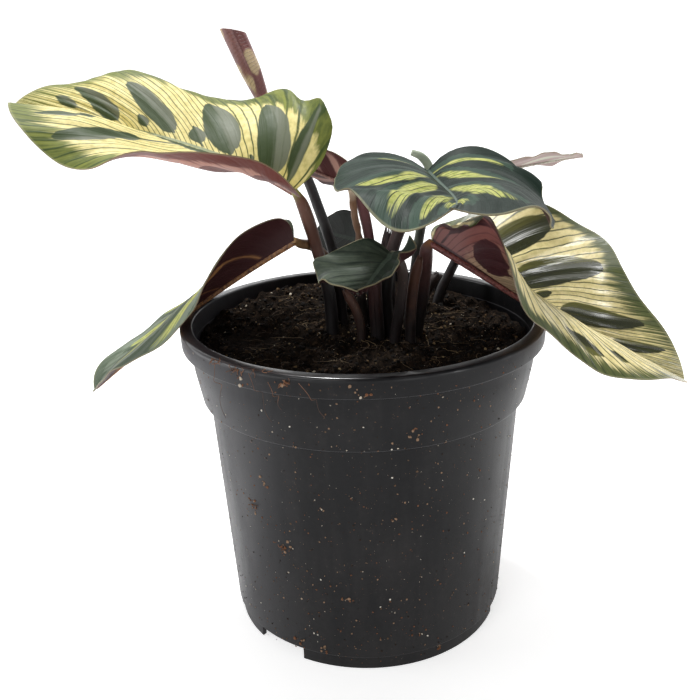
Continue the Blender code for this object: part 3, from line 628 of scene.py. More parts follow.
def remove_old(name):
    old = bpy.data.objects.get(name)
    if old:
        bpy.data.objects.remove(old, do_unlink=True)


def add_object(name, data):
    """A new object in the scene, in place of an old one of that name."""
    remove_old(name)
    made = bpy.data.objects.new(name, data)
    bpy.context.scene.collection.objects.link(made)
    return made


def activate(piece):
    deselect()
    piece.select_set(True)
    bpy.context.view_layer.objects.active = piece


def edit(piece):
    """Opens edit mode on the piece, with all of it selected."""
    activate(piece)
    bpy.ops.object.mode_set(mode="EDIT")
    bpy.ops.mesh.select_all(action="SELECT")


def stop_edit():
    bpy.ops.object.mode_set(mode="OBJECT")


def settle(piece, slot, *nodes):
    """The piece rides with the pot and stands for its CAD nodes; its slot is not used."""
    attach(piece, "root")
    if nodes:
        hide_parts(*nodes)
    return piece


def apply_modifier(piece, kind, **settings):
    activate(piece)
    step = piece.modifiers.new(kind, kind)
    for key, value in settings.items():
        setattr(step, key, value)
    bpy.ops.object.modifier_apply(modifier=step.name)


def smooth(piece, degrees):
    activate(piece)
    bpy.ops.object.shade_smooth_by_angle(angle=math.radians(degrees))


def dress(piece, *finishes, crease=None):
    """Gives the piece its finishes, and smooths it up to the crease's angle in degrees."""
    for finish in finishes:
        piece.data.materials.append(finish)
    if crease:
        smooth(piece, crease)


def merge_doubles(piece, distance=1e-6):
    edit(piece)
    bpy.ops.mesh.remove_doubles(threshold=distance)
    stop_edit()


def give_attribute(piece, name, values):
    """A number or a vector for each point of the mesh."""
    values = np.asarray(values, np.float32)
    flat = values.ndim == 1
    layer = piece.data.attributes.new(name, "FLOAT" if flat else "FLOAT_VECTOR", "POINT")
    layer.data.foreach_set("value" if flat else "vector", values.ravel())


def read_points(piece):
    points = np.empty(len(piece.data.vertices) * 3, np.float32)
    piece.data.vertices.foreach_get("co", points)
    return points.reshape(-1, 3).astype(float)


def write_points(piece, points):
    piece.data.vertices.foreach_set("co", np.asarray(points, np.float32).ravel())
    piece.data.update()


def grid_piece(name, grid):
    """A primitive grid whose points are moved to the given rows and columns, in millimetres."""
    rows, columns = grid.shape[:2]
    deselect()
    remove_old(name)
    bpy.ops.mesh.primitive_grid_add(x_subdivisions=columns - 1, y_subdivisions=rows - 1, size=1)
    piece = bpy.context.object
    piece.name = name
    write_points(piece, grid.reshape(-1, 3) * MM)
    return piece


def smooth_path(points, steps=6):
    """A Catmull-Rom curve through the points."""
    points = np.asarray(points, float)
    padded = np.vstack([2 * points[0] - points[1], points, 2 * points[-1] - points[-2]])
    path = []
    for k in range(len(points) - 1):
        p0, p1, p2, p3 = padded[k : k + 4]
        for f in np.arange(steps) / steps:
            low_terms = 2 * p1 + (p2 - p0) * f + (2 * p0 - 5 * p1 + 4 * p2 - p3) * f**2
            path.append(0.5 * (low_terms + (3 * p1 - 3 * p2 + p3 - p0) * f**3))
    path.append(points[-1])
    return np.array(path)


def tubes(name, paths, radii, sides):
    """Round tubes along millimetre paths with a radius at each point, as one curve turned into a mesh."""
    curve = bpy.data.curves.new(name, "CURVE")
    curve.dimensions = "3D"
    curve.bevel_depth = MM
    curve.bevel_resolution = sides
    curve.use_fill_caps = True
    for path, widths in zip(paths, radii):
        spline = curve.splines.new("POLY")
        spline.points.add(len(path) - 1)
        for point, place, radius in zip(spline.points, path, widths):
            point.co = (*(place * MM), 1.0)
            point.radius = radius
    activate(add_object(name, curve))
    bpy.ops.object.convert(target="MESH")
    piece = bpy.context.object
    merge_doubles(piece)
    return piece


def nearness(x, y, feature, wider=1.0):
    """1 at the middle of a dip or mound, falling to 0 round it."""
    middle_x, middle_y, spread, _ = feature
    return np.exp(-((x - middle_x) ** 2 + (y - middle_y) ** 2) / (wider * spread) ** 2)


def soil_height(x, y):
    """Height of the soil: a slope, a dip beside the drooping leaf, a mound and small bumps."""
    slope = SOIL_BACK_RISE * y / SOIL_SPAN - SOIL_LEFT_RISE * x / SOIL_SPAN
    forms = sum(feature[3] * nearness(x, y, feature) for feature in (SOIL_DIP, SOIL_MOUND))
    bumps = 0.5 * np.sin(0.31 * x + 1.3) * np.cos(0.27 * y) + 0.4 * np.sin(0.73 * x - 0.45 * y + 2)
    return SOIL_LEVEL + slope + forms + bumps


def peat_height(x, y, settings):
    """Height of the rough soil: lumps and crumbs on the slope, calmer in the dip and lower at the wall."""
    calm = DIP_CALM * nearness(x, y, SOIL_DIP, 1.3)
    lumps = noise.fractal(Vector((x * 0.16, y * 0.16, 3)), 0.9, 2.1, 5) * settings.roughness / MM
    crumbs = noise.noise(Vector((x * 0.9, y * 0.9, 7))) * 0.9
    crumbs += noise.noise(Vector((x * 2.1, y * 2.1, 9))) * 0.5
    edge = EDGE_DROP * min(max((math.hypot(x, y) - EDGE_START) / EDGE_WIDTH, 0), 1)
    return float(soil_height(x, y)) + (1 - calm) * (lumps + crumbs) - edge


def eased(stations, share):
    """Values at even stations from base to tip, joined by half cosine waves."""
    values = np.asarray(stations, float)
    place = share * (len(values) - 1)
    low = np.clip(place.astype(int), 0, len(values) - 2)
    return values[low] + (values[low + 1] - values[low]) * (1 - np.cos(np.pi * (place - low))) / 2


def margin(leaf, u):
    """Flat margin of a half blade: distance along the midrib and out from it, with a lobe at the base."""
    widest = MARGIN_RISE / (MARGIN_RISE + MARGIN_FALL)
    peak = widest**MARGIN_RISE * (1 - widest) ** MARGIN_FALL
    share = np.clip(u, 0, 1) ** MARGIN_RISE * np.clip(1 - u, 0, 1) ** MARGIN_FALL / peak
    along = leaf["length"] * (u - leaf["lobe"] * share * (1 - u) ** 6)
    return along, leaf["width"] / 2 * share


def margin_share(vein):
    """Where a side vein meets the margin, from base 0 to tip 1."""
    return 1 - (1 - vein) ** VEIN_RAKE


def vein_place(leaf, vein, reach):
    """Flat place on a side vein, which leaves the midrib at the vein's share of its length."""
    along, out = margin(leaf, margin_share(vein))
    start = leaf["length"] * vein
    bend_out = VEIN_BEND_OUT * out
    bend = start + np.minimum(bend_out / math.tan(math.radians(VEIN_FAN)), VEIN_BEND_ALONG * (along - start))
    x = (1 - reach) ** 2 * start + 2 * reach * (1 - reach) * bend + reach**2 * along
    y = 2 * reach * (1 - reach) * bend_out + reach**2 * out
    return x, y


def spine(leaf):
    """Points and frames down the midrib: forward, sideways to the left, and up out of the blade."""
    s = np.linspace(0, 1, SPINE_STEPS + 1)
    heading = np.radians(leaf["heading"] + leaf["sway"] * s)
    pitch = np.radians(leaf["pitch"] + leaf["arch"] * s + leaf["droop"] * s * s)
    roll = np.radians(leaf["roll"] + leaf["twist"] * s)[:, None]
    forward = np.stack([np.cos(pitch) * np.cos(heading), np.cos(pitch) * np.sin(heading), np.sin(pitch)], -1)
    up = np.stack([-np.sin(pitch) * np.cos(heading), -np.sin(pitch) * np.sin(heading), np.cos(pitch)], -1)
    level = np.cross(up, forward)
    points = np.zeros((SPINE_STEPS + 1, 3))
    points[1:] = np.cumsum((forward[1:] + forward[:-1]) / 2, 0) * leaf["length"] / SPINE_STEPS
    points += np.array(leaf["base"], float)
    left = np.cos(roll) * level + np.sin(roll) * up
    normal = -np.sin(roll) * level + np.cos(roll) * up
    return s, points, forward, left, normal


def bent(leaf, x, y, side):
    """Bends flat places on one half of the blade into the leaf's shape; side is 1 left, -1 right."""
    s, points, forward, left, normal = spine(leaf)
    shape = leaf["left"] if side > 0 else leaf["right"]
    share = x / leaf["length"]
    held = np.clip(share, 0, 1)

    def along(rows):
        return np.stack([np.interp(held, s, rows[:, k]) for k in range(3)], -1)

    centre = along(points) + (np.minimum(share, 0) * leaf["length"])[..., None] * along(forward)
    lift = np.radians(eased(shape["lift"], held))
    bend = np.radians(eased(shape["curl"], held)) / (leaf["width"] / 2)
    bend = np.where(np.abs(bend) < 1e-6, 1e-6, bend)
    out = (np.sin(lift + bend * y) - np.sin(lift)) / bend
    rise = (np.cos(lift) - np.cos(lift + bend * y)) / bend
    width_share = y / (leaf["width"] / 2)
    rise = rise - eased(shape["belly"], held) * np.sin(np.pi * np.clip(width_share, 0, 1))
    rise = rise + shape["wave"] * np.sin(np.radians(720 * held + shape["phase"])) * width_share**2
    return centre + side * out[..., None] * along(left) + rise[..., None] * along(normal)


def way_distance(leaf, veins, reaches, x, y):
    """For each flat place: its distance from a marking's line, share along the line, and side of it."""
    steps = np.linspace(0, len(veins) - 1, WAY_POINTS)
    corners = range(len(veins))
    veins, reaches = (np.interp(steps, corners, values) for values in (veins, reaches))
    line = np.stack(vein_place(leaf, veins, reaches), -1)
    best = np.full(x.shape, FAR_OFF)
    share = np.zeros(x.shape)
    side = np.zeros(x.shape)
    for k in range(len(line) - 1):
        start, step = line[k], line[k + 1] - line[k]
        along = np.clip(((x - start[0]) * step[0] + (y - start[1]) * step[1]) / (step @ step), 0, 1)
        gap = np.hypot(x - start[0] - along * step[0], y - start[1] - along * step[1])
        across = (x - start[0]) * step[1] - (y - start[1]) * step[0]
        share = np.where(gap < best, (k + along) / (len(line) - 1), share)
        side = np.where(gap < best, np.sign(across), side)
        best = np.minimum(best, gap)
    return best, share, side


def markings(leaf, ways, x, y):
    """Millimetres inside the nearest marking, a valley along each broad one, and a painted shade share signed
    by the side of its vein.
    """
    field = np.full(x.shape, -MARK_FIELD)
    valley = np.zeros(x.shape)
    slope = np.zeros(x.shape)
    for broadest, *way in ways:
        veins, reaches = way[0::2], way[1::2]
        gap, share, side = way_distance(leaf, veins, reaches, x, y)
        width = broadest * (0.12 + 0.88 * np.sin(np.pi * np.clip(share, 0, 1) ** 0.8) ** 0.6)
        stem, _, _ = way_distance(leaf, (veins[0], veins[0]), (0.0, reaches[0]), x, y)
        inside = np.maximum(width - gap, STEM_HALF_WIDTH - stem)
        # The slope field is painted shade: signed by the side of the vein, growing away from it
        slope = np.where(inside > field, side * np.clip(gap / broadest, 0, 1), slope)
        field = np.maximum(field, inside)
        if broadest > BROAD:
            dip = np.clip(gap / (VALLEY_REACH * broadest) - 1, -1, 0) * broadest / 4
            valley = np.minimum(valley, dip)
    return np.clip(field, -MARK_FIELD, MARK_FIELD), valley, slope


def dented(grid, name, share, reach):
    """Moves the blade where the photograph's margin leaves the even curves."""
    for side, where, out, spread, depth, move in DENTS.get(name, ()):
        weight = np.exp(-(((share - where) / spread) ** 2) - ((side * reach - out) / depth) ** 2)
        grid = grid + weight[..., None] * np.array(move)
    return grid


def blade_fields(name, veins, reaches):
    """Bent places and fields for one blade, with the left margin in the first column."""
    leaf, marks = LEAVES[name], MARKS[name]
    vein, reach = np.meshgrid(veins, reaches, indexing="ij")
    x, y = vein_place(leaf, vein, np.abs(reach))
    grid = np.zeros((*vein.shape, 3))
    mark, edge, valley, slope = (np.zeros(vein.shape) for _ in range(4))
    for side, word, held, rim in ((1, "left", reaches >= 0, 0), (-1, "right", reaches < 0, -1)):
        side_x, side_y = x[:, held], y[:, held]
        grid[:, held] = bent(leaf, side_x, side_y, side)
        mark[:, held], valley[:, held], slope[:, held] = markings(leaf, marks[word], side_x, side_y)
        # Painted shade: the slope field darkens one side of each vein, and the left half more
        slope[:, held] += LEFT_PAINTED_SHADE * (side > 0)
        start = eased(marks["rim_" + word], vein[:, held])
        edge[:, held] = (start - np.abs(reach[:, held])) * np.maximum(y[:, [rim]], 1.0)
    grid = dented(grid, name, margin_share(vein), reach)
    if marks["striped"]:
        mark, valley = -mark, valley * 0
    return grid, dict(vein=vein, reach=reach, mark=mark, edge=edge, slope=slope), valley, (x, y)


def grid_normals(grid):
    normal = np.cross(np.gradient(grid, axis=1), np.gradient(grid, axis=0))
    return normal / np.maximum(np.linalg.norm(normal, axis=2)[..., None], 1e-9)


def blade_relief(leaf, marks, fields, valley, settings):
    """How far the blade leaves its smooth form: valleys, quilting between veins and a crimped margin."""
    vein, reach = fields["vein"], np.abs(fields["reach"])
    inner = np.sin(np.pi * np.clip(reach, 0, 1)) ** 0.7
    strength, pitch = marks.get("quilt", PLAIN_QUILT)
    puffs = np.cos(2 * np.pi * vein * round(leaf["length"] / pitch))
    size = min(1.0, leaf["length"] / CRIMP_LENGTH)
    turns = CRIMPS * margin_share(vein) + 0.3 * np.sign(fields["reach"])
    crimp = CRIMP_HEIGHT * size * np.sin(2 * np.pi * turns) * reach**5
    fade = np.clip(vein * (1 - vein) * 25, 0, 1)
    quilt = strength * settings.quilting / MM * puffs * inner
    return (valley * settings.valleys / MM * inner + quilt * size + crimp) * fade


def leaf_paint(name, face, settings):
    """A leaf's upper or under finish: ground, green rim, blotches with painted light and shade on either side
    of their veins, fine lines, rib and margin.
    """
    upper = face == "upper"
    leaf, marks = LEAVES[name], MARKS[name]
    *upper_tones, under, under_deep = (tone(code) for code in marks["tones"].split())
    tones = upper_tones if upper else (under, under, *[under_deep] * 5)
    ground, ground_deep, blotch, blotch_deep, rim, rim_deep, rib = tones
    paint = Paint(f"{name}_{face}", Specular_IOR_Level=marks.get("shine", PLAIN_SHINE))
    vein, reach = paint.attribute("vein"), paint.attribute("reach")
    flat = paint.attribute("flat", "Vector")
    lines = float(round(leaf["length"] / (settings.line_spacing / MM)))
    soft = 0.75 if marks["striped"] else 0.3

    grain = paint.noise(flat, 0.35, 4.0, 0.6)
    wobble = paint.noise(paint.vector(vein * 60.0, reach * 3.0), 1.0, 3.0, 0.6)
    streaks = paint.noise(paint.vector(vein * 110.0, reach * 2.0), 1.0, 3.0, 0.6)
    mesh = paint.noise(paint.vector(vein * (lines * 3.0), reach * 55.0), 1.0, 1.0)
    phase = (vein * lines + (paint.noise(flat, 0.06) - 0.5) * 0.8).fraction()
    line = 1.0 - abs(phase - 0.5).between(0.03, 0.15)
    fine_line = 1.0 - abs((vein * (lines * 4.0)).fraction() - 0.5).between(0.05, 0.3)
    ink = line * ((0.6 if upper else 0.25) + 0.5 * streaks) + fine_line * 0.08 + (mesh - 0.4) * 0.35

    pale_tone = paint.mix(grain.between(0.35, 0.75), ground, ground_deep)
    if not upper and "under_far" in marks:
        far = (vein + (grain - 0.5) * 0.1).between(0.08, 0.17)
        pale_tone = paint.mix(far, pale_tone, marks["under_far"])
    pale_tone = paint.mix(ink.between(0.0, 1.1), pale_tone, rim_deep)
    rim_tone = paint.mix((streaks * 1.1 + grain * 0.25 + line * 0.25).between(0.4, 1.0), rim, rim_deep)
    # Painted light and shade: each blotch takes its deep tone on one side of its vein and on left halves, its
    # lighter tone on the other side
    painted_shade_side = (paint.attribute("slope") * 2.0 + (wobble - 0.5) + 0.15).between(-0.6, 0.6)
    blotch_share = (painted_shade_side * 0.75 + line * 0.2 + grain * 0.3).between(0.1, 1.0)
    blotch_tone = paint.mix(blotch_share, blotch, blotch_deep)

    pale = (paint.attribute("edge") + (streaks - 0.5) * 16.0).between(-2.4, 1.8)
    marked = (paint.attribute("mark") + (wobble - 0.5) * 2.4).between(-soft, soft)
    rib_width = 0.35 + 0.9 * (1.0 - vein)
    on_rib = 1.0 - (abs(paint.axis(flat, "Y")) / rib_width).between(0.6, 1.1)
    colour = paint.mix(pale, rim_tone, pale_tone)
    colour = paint.mix(marked, colour, blotch_tone)
    colour = paint.mix(on_rib, colour, rib)
    colour = paint.mix(abs(reach).between(0.98, 0.992) * 0.36, colour, MARGIN_LINE)
    polished = vein.between(0.11, 0.17) * (marks.get("polish", 0.0) if upper else 0.0)
    relief = 0.5 * line + 0.2 * fine_line + 0.35 * grain + 0.15 * mesh
    return paint.finish(
        Base_Color=colour,
        Roughness=marks.get("gloss", PLAIN_GLOSS) + 0.18 * grain - polished,
        Normal=paint.bump(relief, UPPER_BUMP if upper else UNDER_BUMP, 0.8),
    )


def rib_tube(name):
    """The midrib, which stands out of the under side and thins towards the tip."""
    leaf, marks = LEAVES[name], MARKS[name]
    s, points, _, _, normal = spine(leaf)
    size = min(1.0, leaf["length"] / FULL_RIB_LENGTH)
    radii = size * (RIB_RADIUS * (1 - s) ** 0.8 + RIB_TIP_RADIUS)
    path = points - normal * (radii + RIB_GAP)[:, None]
    piece = tubes(name + "_rib", [path[:-1]], [radii[:-1]], 3)
    paint = Paint(name + "_rib_skin", Roughness=0.45)
    grain = paint.noise(paint.place(), 900.0, 3.0)
    colour = paint.mix(grain.between(0.3, 0.8), *marks["tones"].split()[-2:])
    dress(piece, paint.finish(Base_Color=colour, Normal=paint.bump(grain, 0.0001)))
    return piece


def leaf_blade(name, settings):
    """One blade: a bent sheet with its relief and two finishes, joined to its midrib."""
    leaf, marks = LEAVES[name], MARKS[name]
    rows = max(48, int(settings.rows * leaf["length"] / FULL_LENGTH))
    columns = max(12, int(settings.columns * leaf["width"] / FULL_WIDTH))
    veins = np.linspace(0, 1, rows) ** 1.3
    reaches = np.linspace(1, -1, 2 * columns + 1)
    grid, fields, valley, (x, y) = blade_fields(name, veins, reaches)
    grid += grid_normals(grid) * blade_relief(leaf, marks, fields, valley, settings)[..., None]
    piece = grid_piece(name + "_skin", grid)
    for key, values in fields.items():
        give_attribute(piece, key, values.ravel())
    flat = np.stack([x, y * np.sign(fields["reach"]), np.zeros_like(x)], -1)
    give_attribute(piece, "flat", flat.reshape(-1, 3))
    merge_doubles(piece)
    dress(piece, *[leaf_paint(name, face, settings) for face in ("upper", "under")])
    apply_modifier(
        piece, "SOLIDIFY", thickness=settings.thickness, offset=0.0, use_even_offset=False,
        material_offset=1, material_offset_rim=1,
    )
    rib = rib_tube(name)
    activate(piece)
    rib.select_set(True)
    bpy.ops.object.join()
    smooth(piece, 60)
    return settle(piece, "leaf", name + "_blade")


def round_line(angle, side, other):
    """The direction at an angle round a line, measured from one direction square to it towards the other."""
    return math.cos(angle) * side + math.sin(angle) * other


def rolled_paint():
    """Cream with maroon blotches and fine lines that wind round the roll."""
    paint = Paint("rolled_leaf_finish", Roughness=0.42, Coat_Weight=0.1)
    share, turn = paint.attribute("share"), paint.attribute("round")
    streak = paint.noise(paint.vector(turn * 14.0, share * 5.0), 1.0, 3.0)
    broad = paint.noise(paint.vector(turn * 2.2 + share * 1.1, share * 2.2 - turn * 1.6 + 0.6), 1.0, 1.0)
    lines = 1.0 - abs((share * 22.0 - turn * 9.0).fraction() - 0.5).between(0.04, 0.2)
    cream = paint.mix(streak, "c9b78f", "a98d74")
    cream = paint.mix(lines * 0.35, cream, "6a4a44")
    maroon = paint.mix(streak, "8a5a58", "57302f")
    colour = paint.mix(broad.between(0.38, 0.45), cream, maroon)
    return paint.finish(Base_Color=colour, Normal=paint.bump(lines + streak, 0.0001))


def rolled_blade():
    """A young leaf still rolled up: a thin sheet that winds a little more than once round its axis."""
    path = smooth_path(ROLLED_AXIS, 24)
    forward = path[-1] - path[0]
    forward /= np.linalg.norm(forward)
    side = np.cross(forward, (0, 1.0, 0))
    side /= np.linalg.norm(side)
    other = np.cross(forward, side)
    share = np.linspace(0, 1, len(path))
    wound = np.linspace(0, 1, ROLLED_COLUMNS)
    turn = np.radians(ROLLED_START + ROLLED_TURN * wound)
    radii = np.interp(share, (0, 0.5, 1), ROLLED_RADII)
    lap = ROLLED_INNER + ROLLED_LAP * wound
    grid = np.zeros((len(path), len(turn), 3))
    for j, (place, radius) in enumerate(zip(path, radii)):
        for i, angle in enumerate(turn):
            slant = ROLLED_TOP_SLANT * share[j] ** 2 * math.cos(angle) * forward
            grid[j, i] = place + radius * lap[i] * round_line(angle, side, other) + slant
    piece = grid_piece("rolled_leaf_skin", grid)
    along, around = np.meshgrid(share, wound, indexing="ij")
    give_attribute(piece, "share", along.ravel())
    give_attribute(piece, "round", around.ravel())
    apply_modifier(piece, "SOLIDIFY", thickness=ROLLED_THICKNESS * MM, offset=0.0)
    dress(piece, rolled_paint(), crease=60)
    return settle(piece, "young_leaf", "rolled_leaf_blade")



def root_points(points):
    """The first point is given by its place in the soil: it becomes a plumb stretch from the root end."""
    x, y = points[0]
    return [(x, y, ROOT_DEPTH), (x, y, ROOT_DEPTH + ROOT_STRAIGHT), *points[1:]]


def path_share(path):
    steps = np.linalg.norm(np.diff(path, axis=0), axis=1)
    return np.concatenate([[0], np.cumsum(steps)]) / steps.sum()


def nearest_share(piece, path):
    """For each point of the mesh, the share of the path's length that it lies beside."""
    gaps = np.linalg.norm(read_points(piece)[:, None, :] / MM - path[None, :, :], axis=2)
    return path_share(path)[gaps.argmin(1)]


def stalk_paint(name, stalk):
    """Dark skin that turns from its low tone, deepened with painted shade, to its high tone, with fine ribs
    and lighter hairs.
    """
    paint = Paint(name + "_finish", Roughness=0.5, Coat_Weight=0.05)
    share = paint.attribute("share")
    ribs = paint.noise(paint.upright(0.12), 900.0, 3.0, 0.6)
    patches = paint.noise(paint.place(), 160.0, 3.0)
    rise = (share + (patches - 0.5) * 0.25).between(0.42, 0.92)
    colour = paint.mix(rise, stalk["low"], stalk["high"])
    colour = paint.mix((share + (patches - 0.5) * 0.1).between(0.93, 0.99), colour, stalk["tip"])
    colour = paint.mix(ribs.between(0.62, 0.8) * (0.08 + 0.27 * rise), colour, STALK_HAIRS)
    relief = paint.bump(ribs + 0.4 * patches, 0.00025)
    return paint.finish(Base_Color=colour, Roughness=0.42 + 0.25 * patches, Normal=relief)


def stalk_path(name, data):
    """The stalk's line, with its neck up to the blade where it carries one."""
    points = root_points(data["points"])
    if name in LEAVES:
        base = np.array(LEAVES[name]["base"], float)
        points += [base + np.array(data["neck"]), base]
    elif "end" in data:
        points.append(data["end"])
    return smooth_path(points)


def stalk(name, data, piece_name, swelling=0.0):
    """A stalk that thins upwards, with a swollen stretch below its blade."""
    path = stalk_path(name, data)
    share = path_share(path)
    low, middle, end = data["radii"]
    radii = np.interp(share, STALK_SHARES, (low, (low + middle) / 2, middle, end))
    radii = radii * (1 + swelling * np.exp(-(((share - SWELLING_PLACE) / SWELLING_SPREAD) ** 2)))
    piece = tubes(piece_name + "_skin", [path], [radii], 6)
    give_attribute(piece, "share", nearest_share(piece, path))
    dress(piece, stalk_paint(piece_name, data), crease=70)
    return piece


def knobs(piece, seed, height):
    """Pushes the skin out and in a little, so that a dried stalk looks knobby."""
    points = read_points(piece)
    centre = points.mean(0)
    for k, point in enumerate(points):
        push = noise.noise(Vector(point * KNOBS_PER_METRE) + Vector((seed, 0, 0)))
        away = Vector((point[0] - centre[0], point[1] - centre[1], 0)).normalized()
        points[k] = point + np.array(away) * push * height
    write_points(piece, points)


def sheath_grid(data, random):
    """Rows up the sheath's line and columns round it, with a torn top, and each row's share of the line."""
    path = smooth_path(root_points(data["points"]), 8)
    share = path_share(path)
    tangent = np.gradient(path, axis=0)
    tangent /= np.linalg.norm(tangent, axis=1)[:, None]
    turn = np.radians(np.linspace(*SHEATH_TURN, SHEATH_COLUMNS) + 360 * random.random())
    tear = 1 - SHEATH_TEAR * random.random(SHEATH_COLUMNS) * (np.arange(SHEATH_COLUMNS) % 3 > 0)
    low, middle, end = data["radii"]
    radii = np.interp(share, SHEATH_SHARES, (low, middle * 1.05, middle, end))
    grid = np.zeros((len(path), SHEATH_COLUMNS, 3))
    side = np.array([1.0, 0.0, 0.0])
    for j, along in enumerate(tangent):
        side = side - along * side.dot(along)
        side /= np.linalg.norm(side)
        other = np.cross(along, side)
        for i, angle in enumerate(turn):
            held = min(share[j], tear[i])
            centre = np.array([np.interp(held, share, path[:, k]) for k in range(3)])
            radius = np.interp(held, share, radii) * (0.86 + 0.14 * i / SHEATH_COLUMNS)
            grid[j, i] = centre + radius * round_line(angle, side, other)
    return grid, share


def sheath(name, data, seed):
    """An old leaf sheath: a curled sheet round its stalk line, torn at the top."""
    grid, share = sheath_grid(data, np.random.default_rng(seed))
    piece = grid_piece(name + "_skin", grid)
    give_attribute(piece, "share", np.repeat(share, SHEATH_COLUMNS))
    merge_doubles(piece, 1e-5)
    apply_modifier(piece, "SOLIDIFY", thickness=SHEATH_THICKNESS * MM, offset=-1.0)
    paint = Paint(name + "_finish", Roughness=0.62)
    ribs = paint.noise(paint.upright(0.08), 1100.0, 3.0, 0.65)
    patches = paint.noise(paint.place(), 220.0, 3.0)
    rise = (paint.attribute("share") + (patches - 0.5) * 0.4).between(0.35, 0.95)
    # Both tones are the sheath's own dark colour deepened with painted shade in the clump, the low one most
    colour = paint.mix(rise, data["low"], data["high"])
    colour = paint.mix(ribs.between(0.55, 0.8) * (0.08 + 0.37 * rise), colour, SHEATH_RIBS)
    dress(piece, paint.finish(Base_Color=colour, Normal=paint.bump(ribs, 0.0003)), crease=60)
    return settle(piece, "sheath", name)


def rounded(corners, steps=4):
    """Turns (radius, height, fillet) corners into a profile with its corners rounded."""
    profile = []
    for k, (radius, height, fillet) in enumerate(corners):
        here = np.array([radius, height], float)
        if fillet == 0 or k in (0, len(corners) - 1):
            profile.append(tuple(here))
            continue
        arms = [np.array(corners[j][:2], float) - here for j in (k - 1, k + 1)]
        back, ahead = (here + arm * min(fillet / np.linalg.norm(arm), 0.45) for arm in arms)
        for f in np.linspace(0, 1, steps + 1):
            profile.append(tuple((1 - f) ** 2 * back + 2 * f * (1 - f) * here + f**2 * ahead))
    return profile


def turned(name, profile, sides):
    """A closed body turned round Z: a circle extruded and resized from one profile point to the next."""
    radius, height = profile[0]
    deselect()
    remove_old(name)
    bpy.ops.mesh.primitive_circle_add(vertices=sides, radius=radius * MM, location=(0, 0, height * MM))
    piece = bpy.context.object
    piece.name = name
    bpy.ops.object.transform_apply(location=True)
    edit(piece)
    for (radius, height), (wider, higher) in zip(profile, profile[1:]):
        bpy.ops.mesh.extrude_edges_move(TRANSFORM_OT_translate={"value": (0, 0, (higher - height) * MM)})
        bpy.ops.transform.resize(value=(wider / radius, wider / radius, 1), center_override=(0, 0, 0))
    bpy.ops.mesh.edge_face_add()
    bpy.ops.mesh.select_all(action="SELECT")
    bpy.ops.mesh.fill_holes(sides=0)
    bpy.ops.mesh.normals_make_consistent(inside=False)
    stop_edit()
    return piece


def cut_away(piece, cutter):
    apply_modifier(piece, "BOOLEAN", operation="DIFFERENCE", object=cutter, solver="EXACT")
    bpy.data.objects.remove(cutter, do_unlink=True)


def foot_cutter(settings, angle):
    """A block across the foot ring, where water runs out."""
    place = (FOOT_RADIUS * math.cos(angle), FOOT_RADIUS * math.sin(angle), settings.notch_height / 2 - MM)
    deselect()
    bpy.ops.mesh.primitive_cube_add(size=1, location=place, rotation=(0, 0, angle))
    block = bpy.context.object
    block.scale = (NOTCH_DEPTH, settings.notch_width, settings.notch_height + 2 * MM)
    bpy.ops.object.transform_apply(location=True, rotation=True, scale=True)
    return block


def drain_cutter(angle):
    """A rod through the pot's floor, for one drain hole."""
    place = (DRAIN_RING * math.cos(angle), DRAIN_RING * math.sin(angle), DRAIN_LEVEL)
    deselect()
    bpy.ops.mesh.primitive_cylinder_add(vertices=32, radius=DRAIN_RADIUS, depth=DRAIN_DEPTH, location=place)
    bpy.ops.object.transform_apply(location=True)
    return bpy.context.object


def pot_paint(settings):
    """Satin black plastic with a glossy lip, dust, specks, a left side lightened with painted sheen and dust,
    and painted highlight lines along the step and the skirt.
    """
    paint = Paint("pot_plastic", Roughness=0.35, Specular_IOR_Level=0.15, Coat_Roughness=0.16)
    place = paint.place()
    height = paint.axis(place, "Z")
    grain = paint.noise(place, 2600.0, 2.0)
    cloud = paint.noise(place, 28.0, 4.0, 0.6)
    runs = paint.noise(paint.upright(0.08), 160.0, 4.0, 0.6)
    spots = paint.noise(place, 420.0, 3.0, 0.7)
    dust = (cloud * 0.6 + runs * 0.5 + spots * 0.25 - height * 1.2).between(0.45, 0.95)
    specks = spots.between(0.66, 0.74) * cloud.between(0.42, 0.6)
    # Painted highlights: thin light lines along the step's edge and under the skirt
    step = 1.0 - abs(height - STEP_HIGHLIGHT).between(0.0002, 0.0006)
    skirt_highlight = 1.0 - abs(height - SKIRT_HIGHLIGHT).between(0.0001, 0.0004)
    lip = height.between(*LIP_HEIGHTS)
    # The left side is lighter: partly painted sheen, partly dust
    left_sheen_and_dust = (paint.axis(place, "X") * -1.0).between(*LEFT_SHEEN_AND_DUST_REACH) * (0.3 + 0.7 * runs)
    colour = paint.mix(dust * 0.7, tuple(settings.plastic), tuple(settings.dust))
    colour = paint.mix(left_sheen_and_dust * 0.75, colour, "4c4c50")
    colour = paint.mix(specks * 0.35, colour, "6b5d50")
    colour = paint.mix((step + skirt_highlight) * (0.15 + 0.5 * runs), colour, "77777a")
    return paint.finish(
        Base_Color=colour,
        Roughness=0.3 + 0.2 * dust + 0.1 * grain + 0.1 * runs,
        Coat_Weight=lip * 0.8 * cloud.between(0.35, 0.55),
        Normal=paint.bump(grain * 0.3 + cloud * 0.6 + runs * 0.3, 0.00015, 0.6),
    )


def nursery_pot(settings):
    """A turned wall with notches cut in its foot and drain holes in its floor."""
    piece = turned("nursery_pot", rounded(POT_CORNERS), settings.sides)
    for degrees in NOTCH_ANGLES:
        cut_away(piece, foot_cutter(settings, math.radians(degrees)))
    for degrees in DRAIN_ANGLES:
        cut_away(piece, drain_cutter(math.radians(degrees)))
    piece.data.materials.clear()
    dress(piece, pot_paint(settings), crease=32)
    return settle(piece, "pot", "pot")


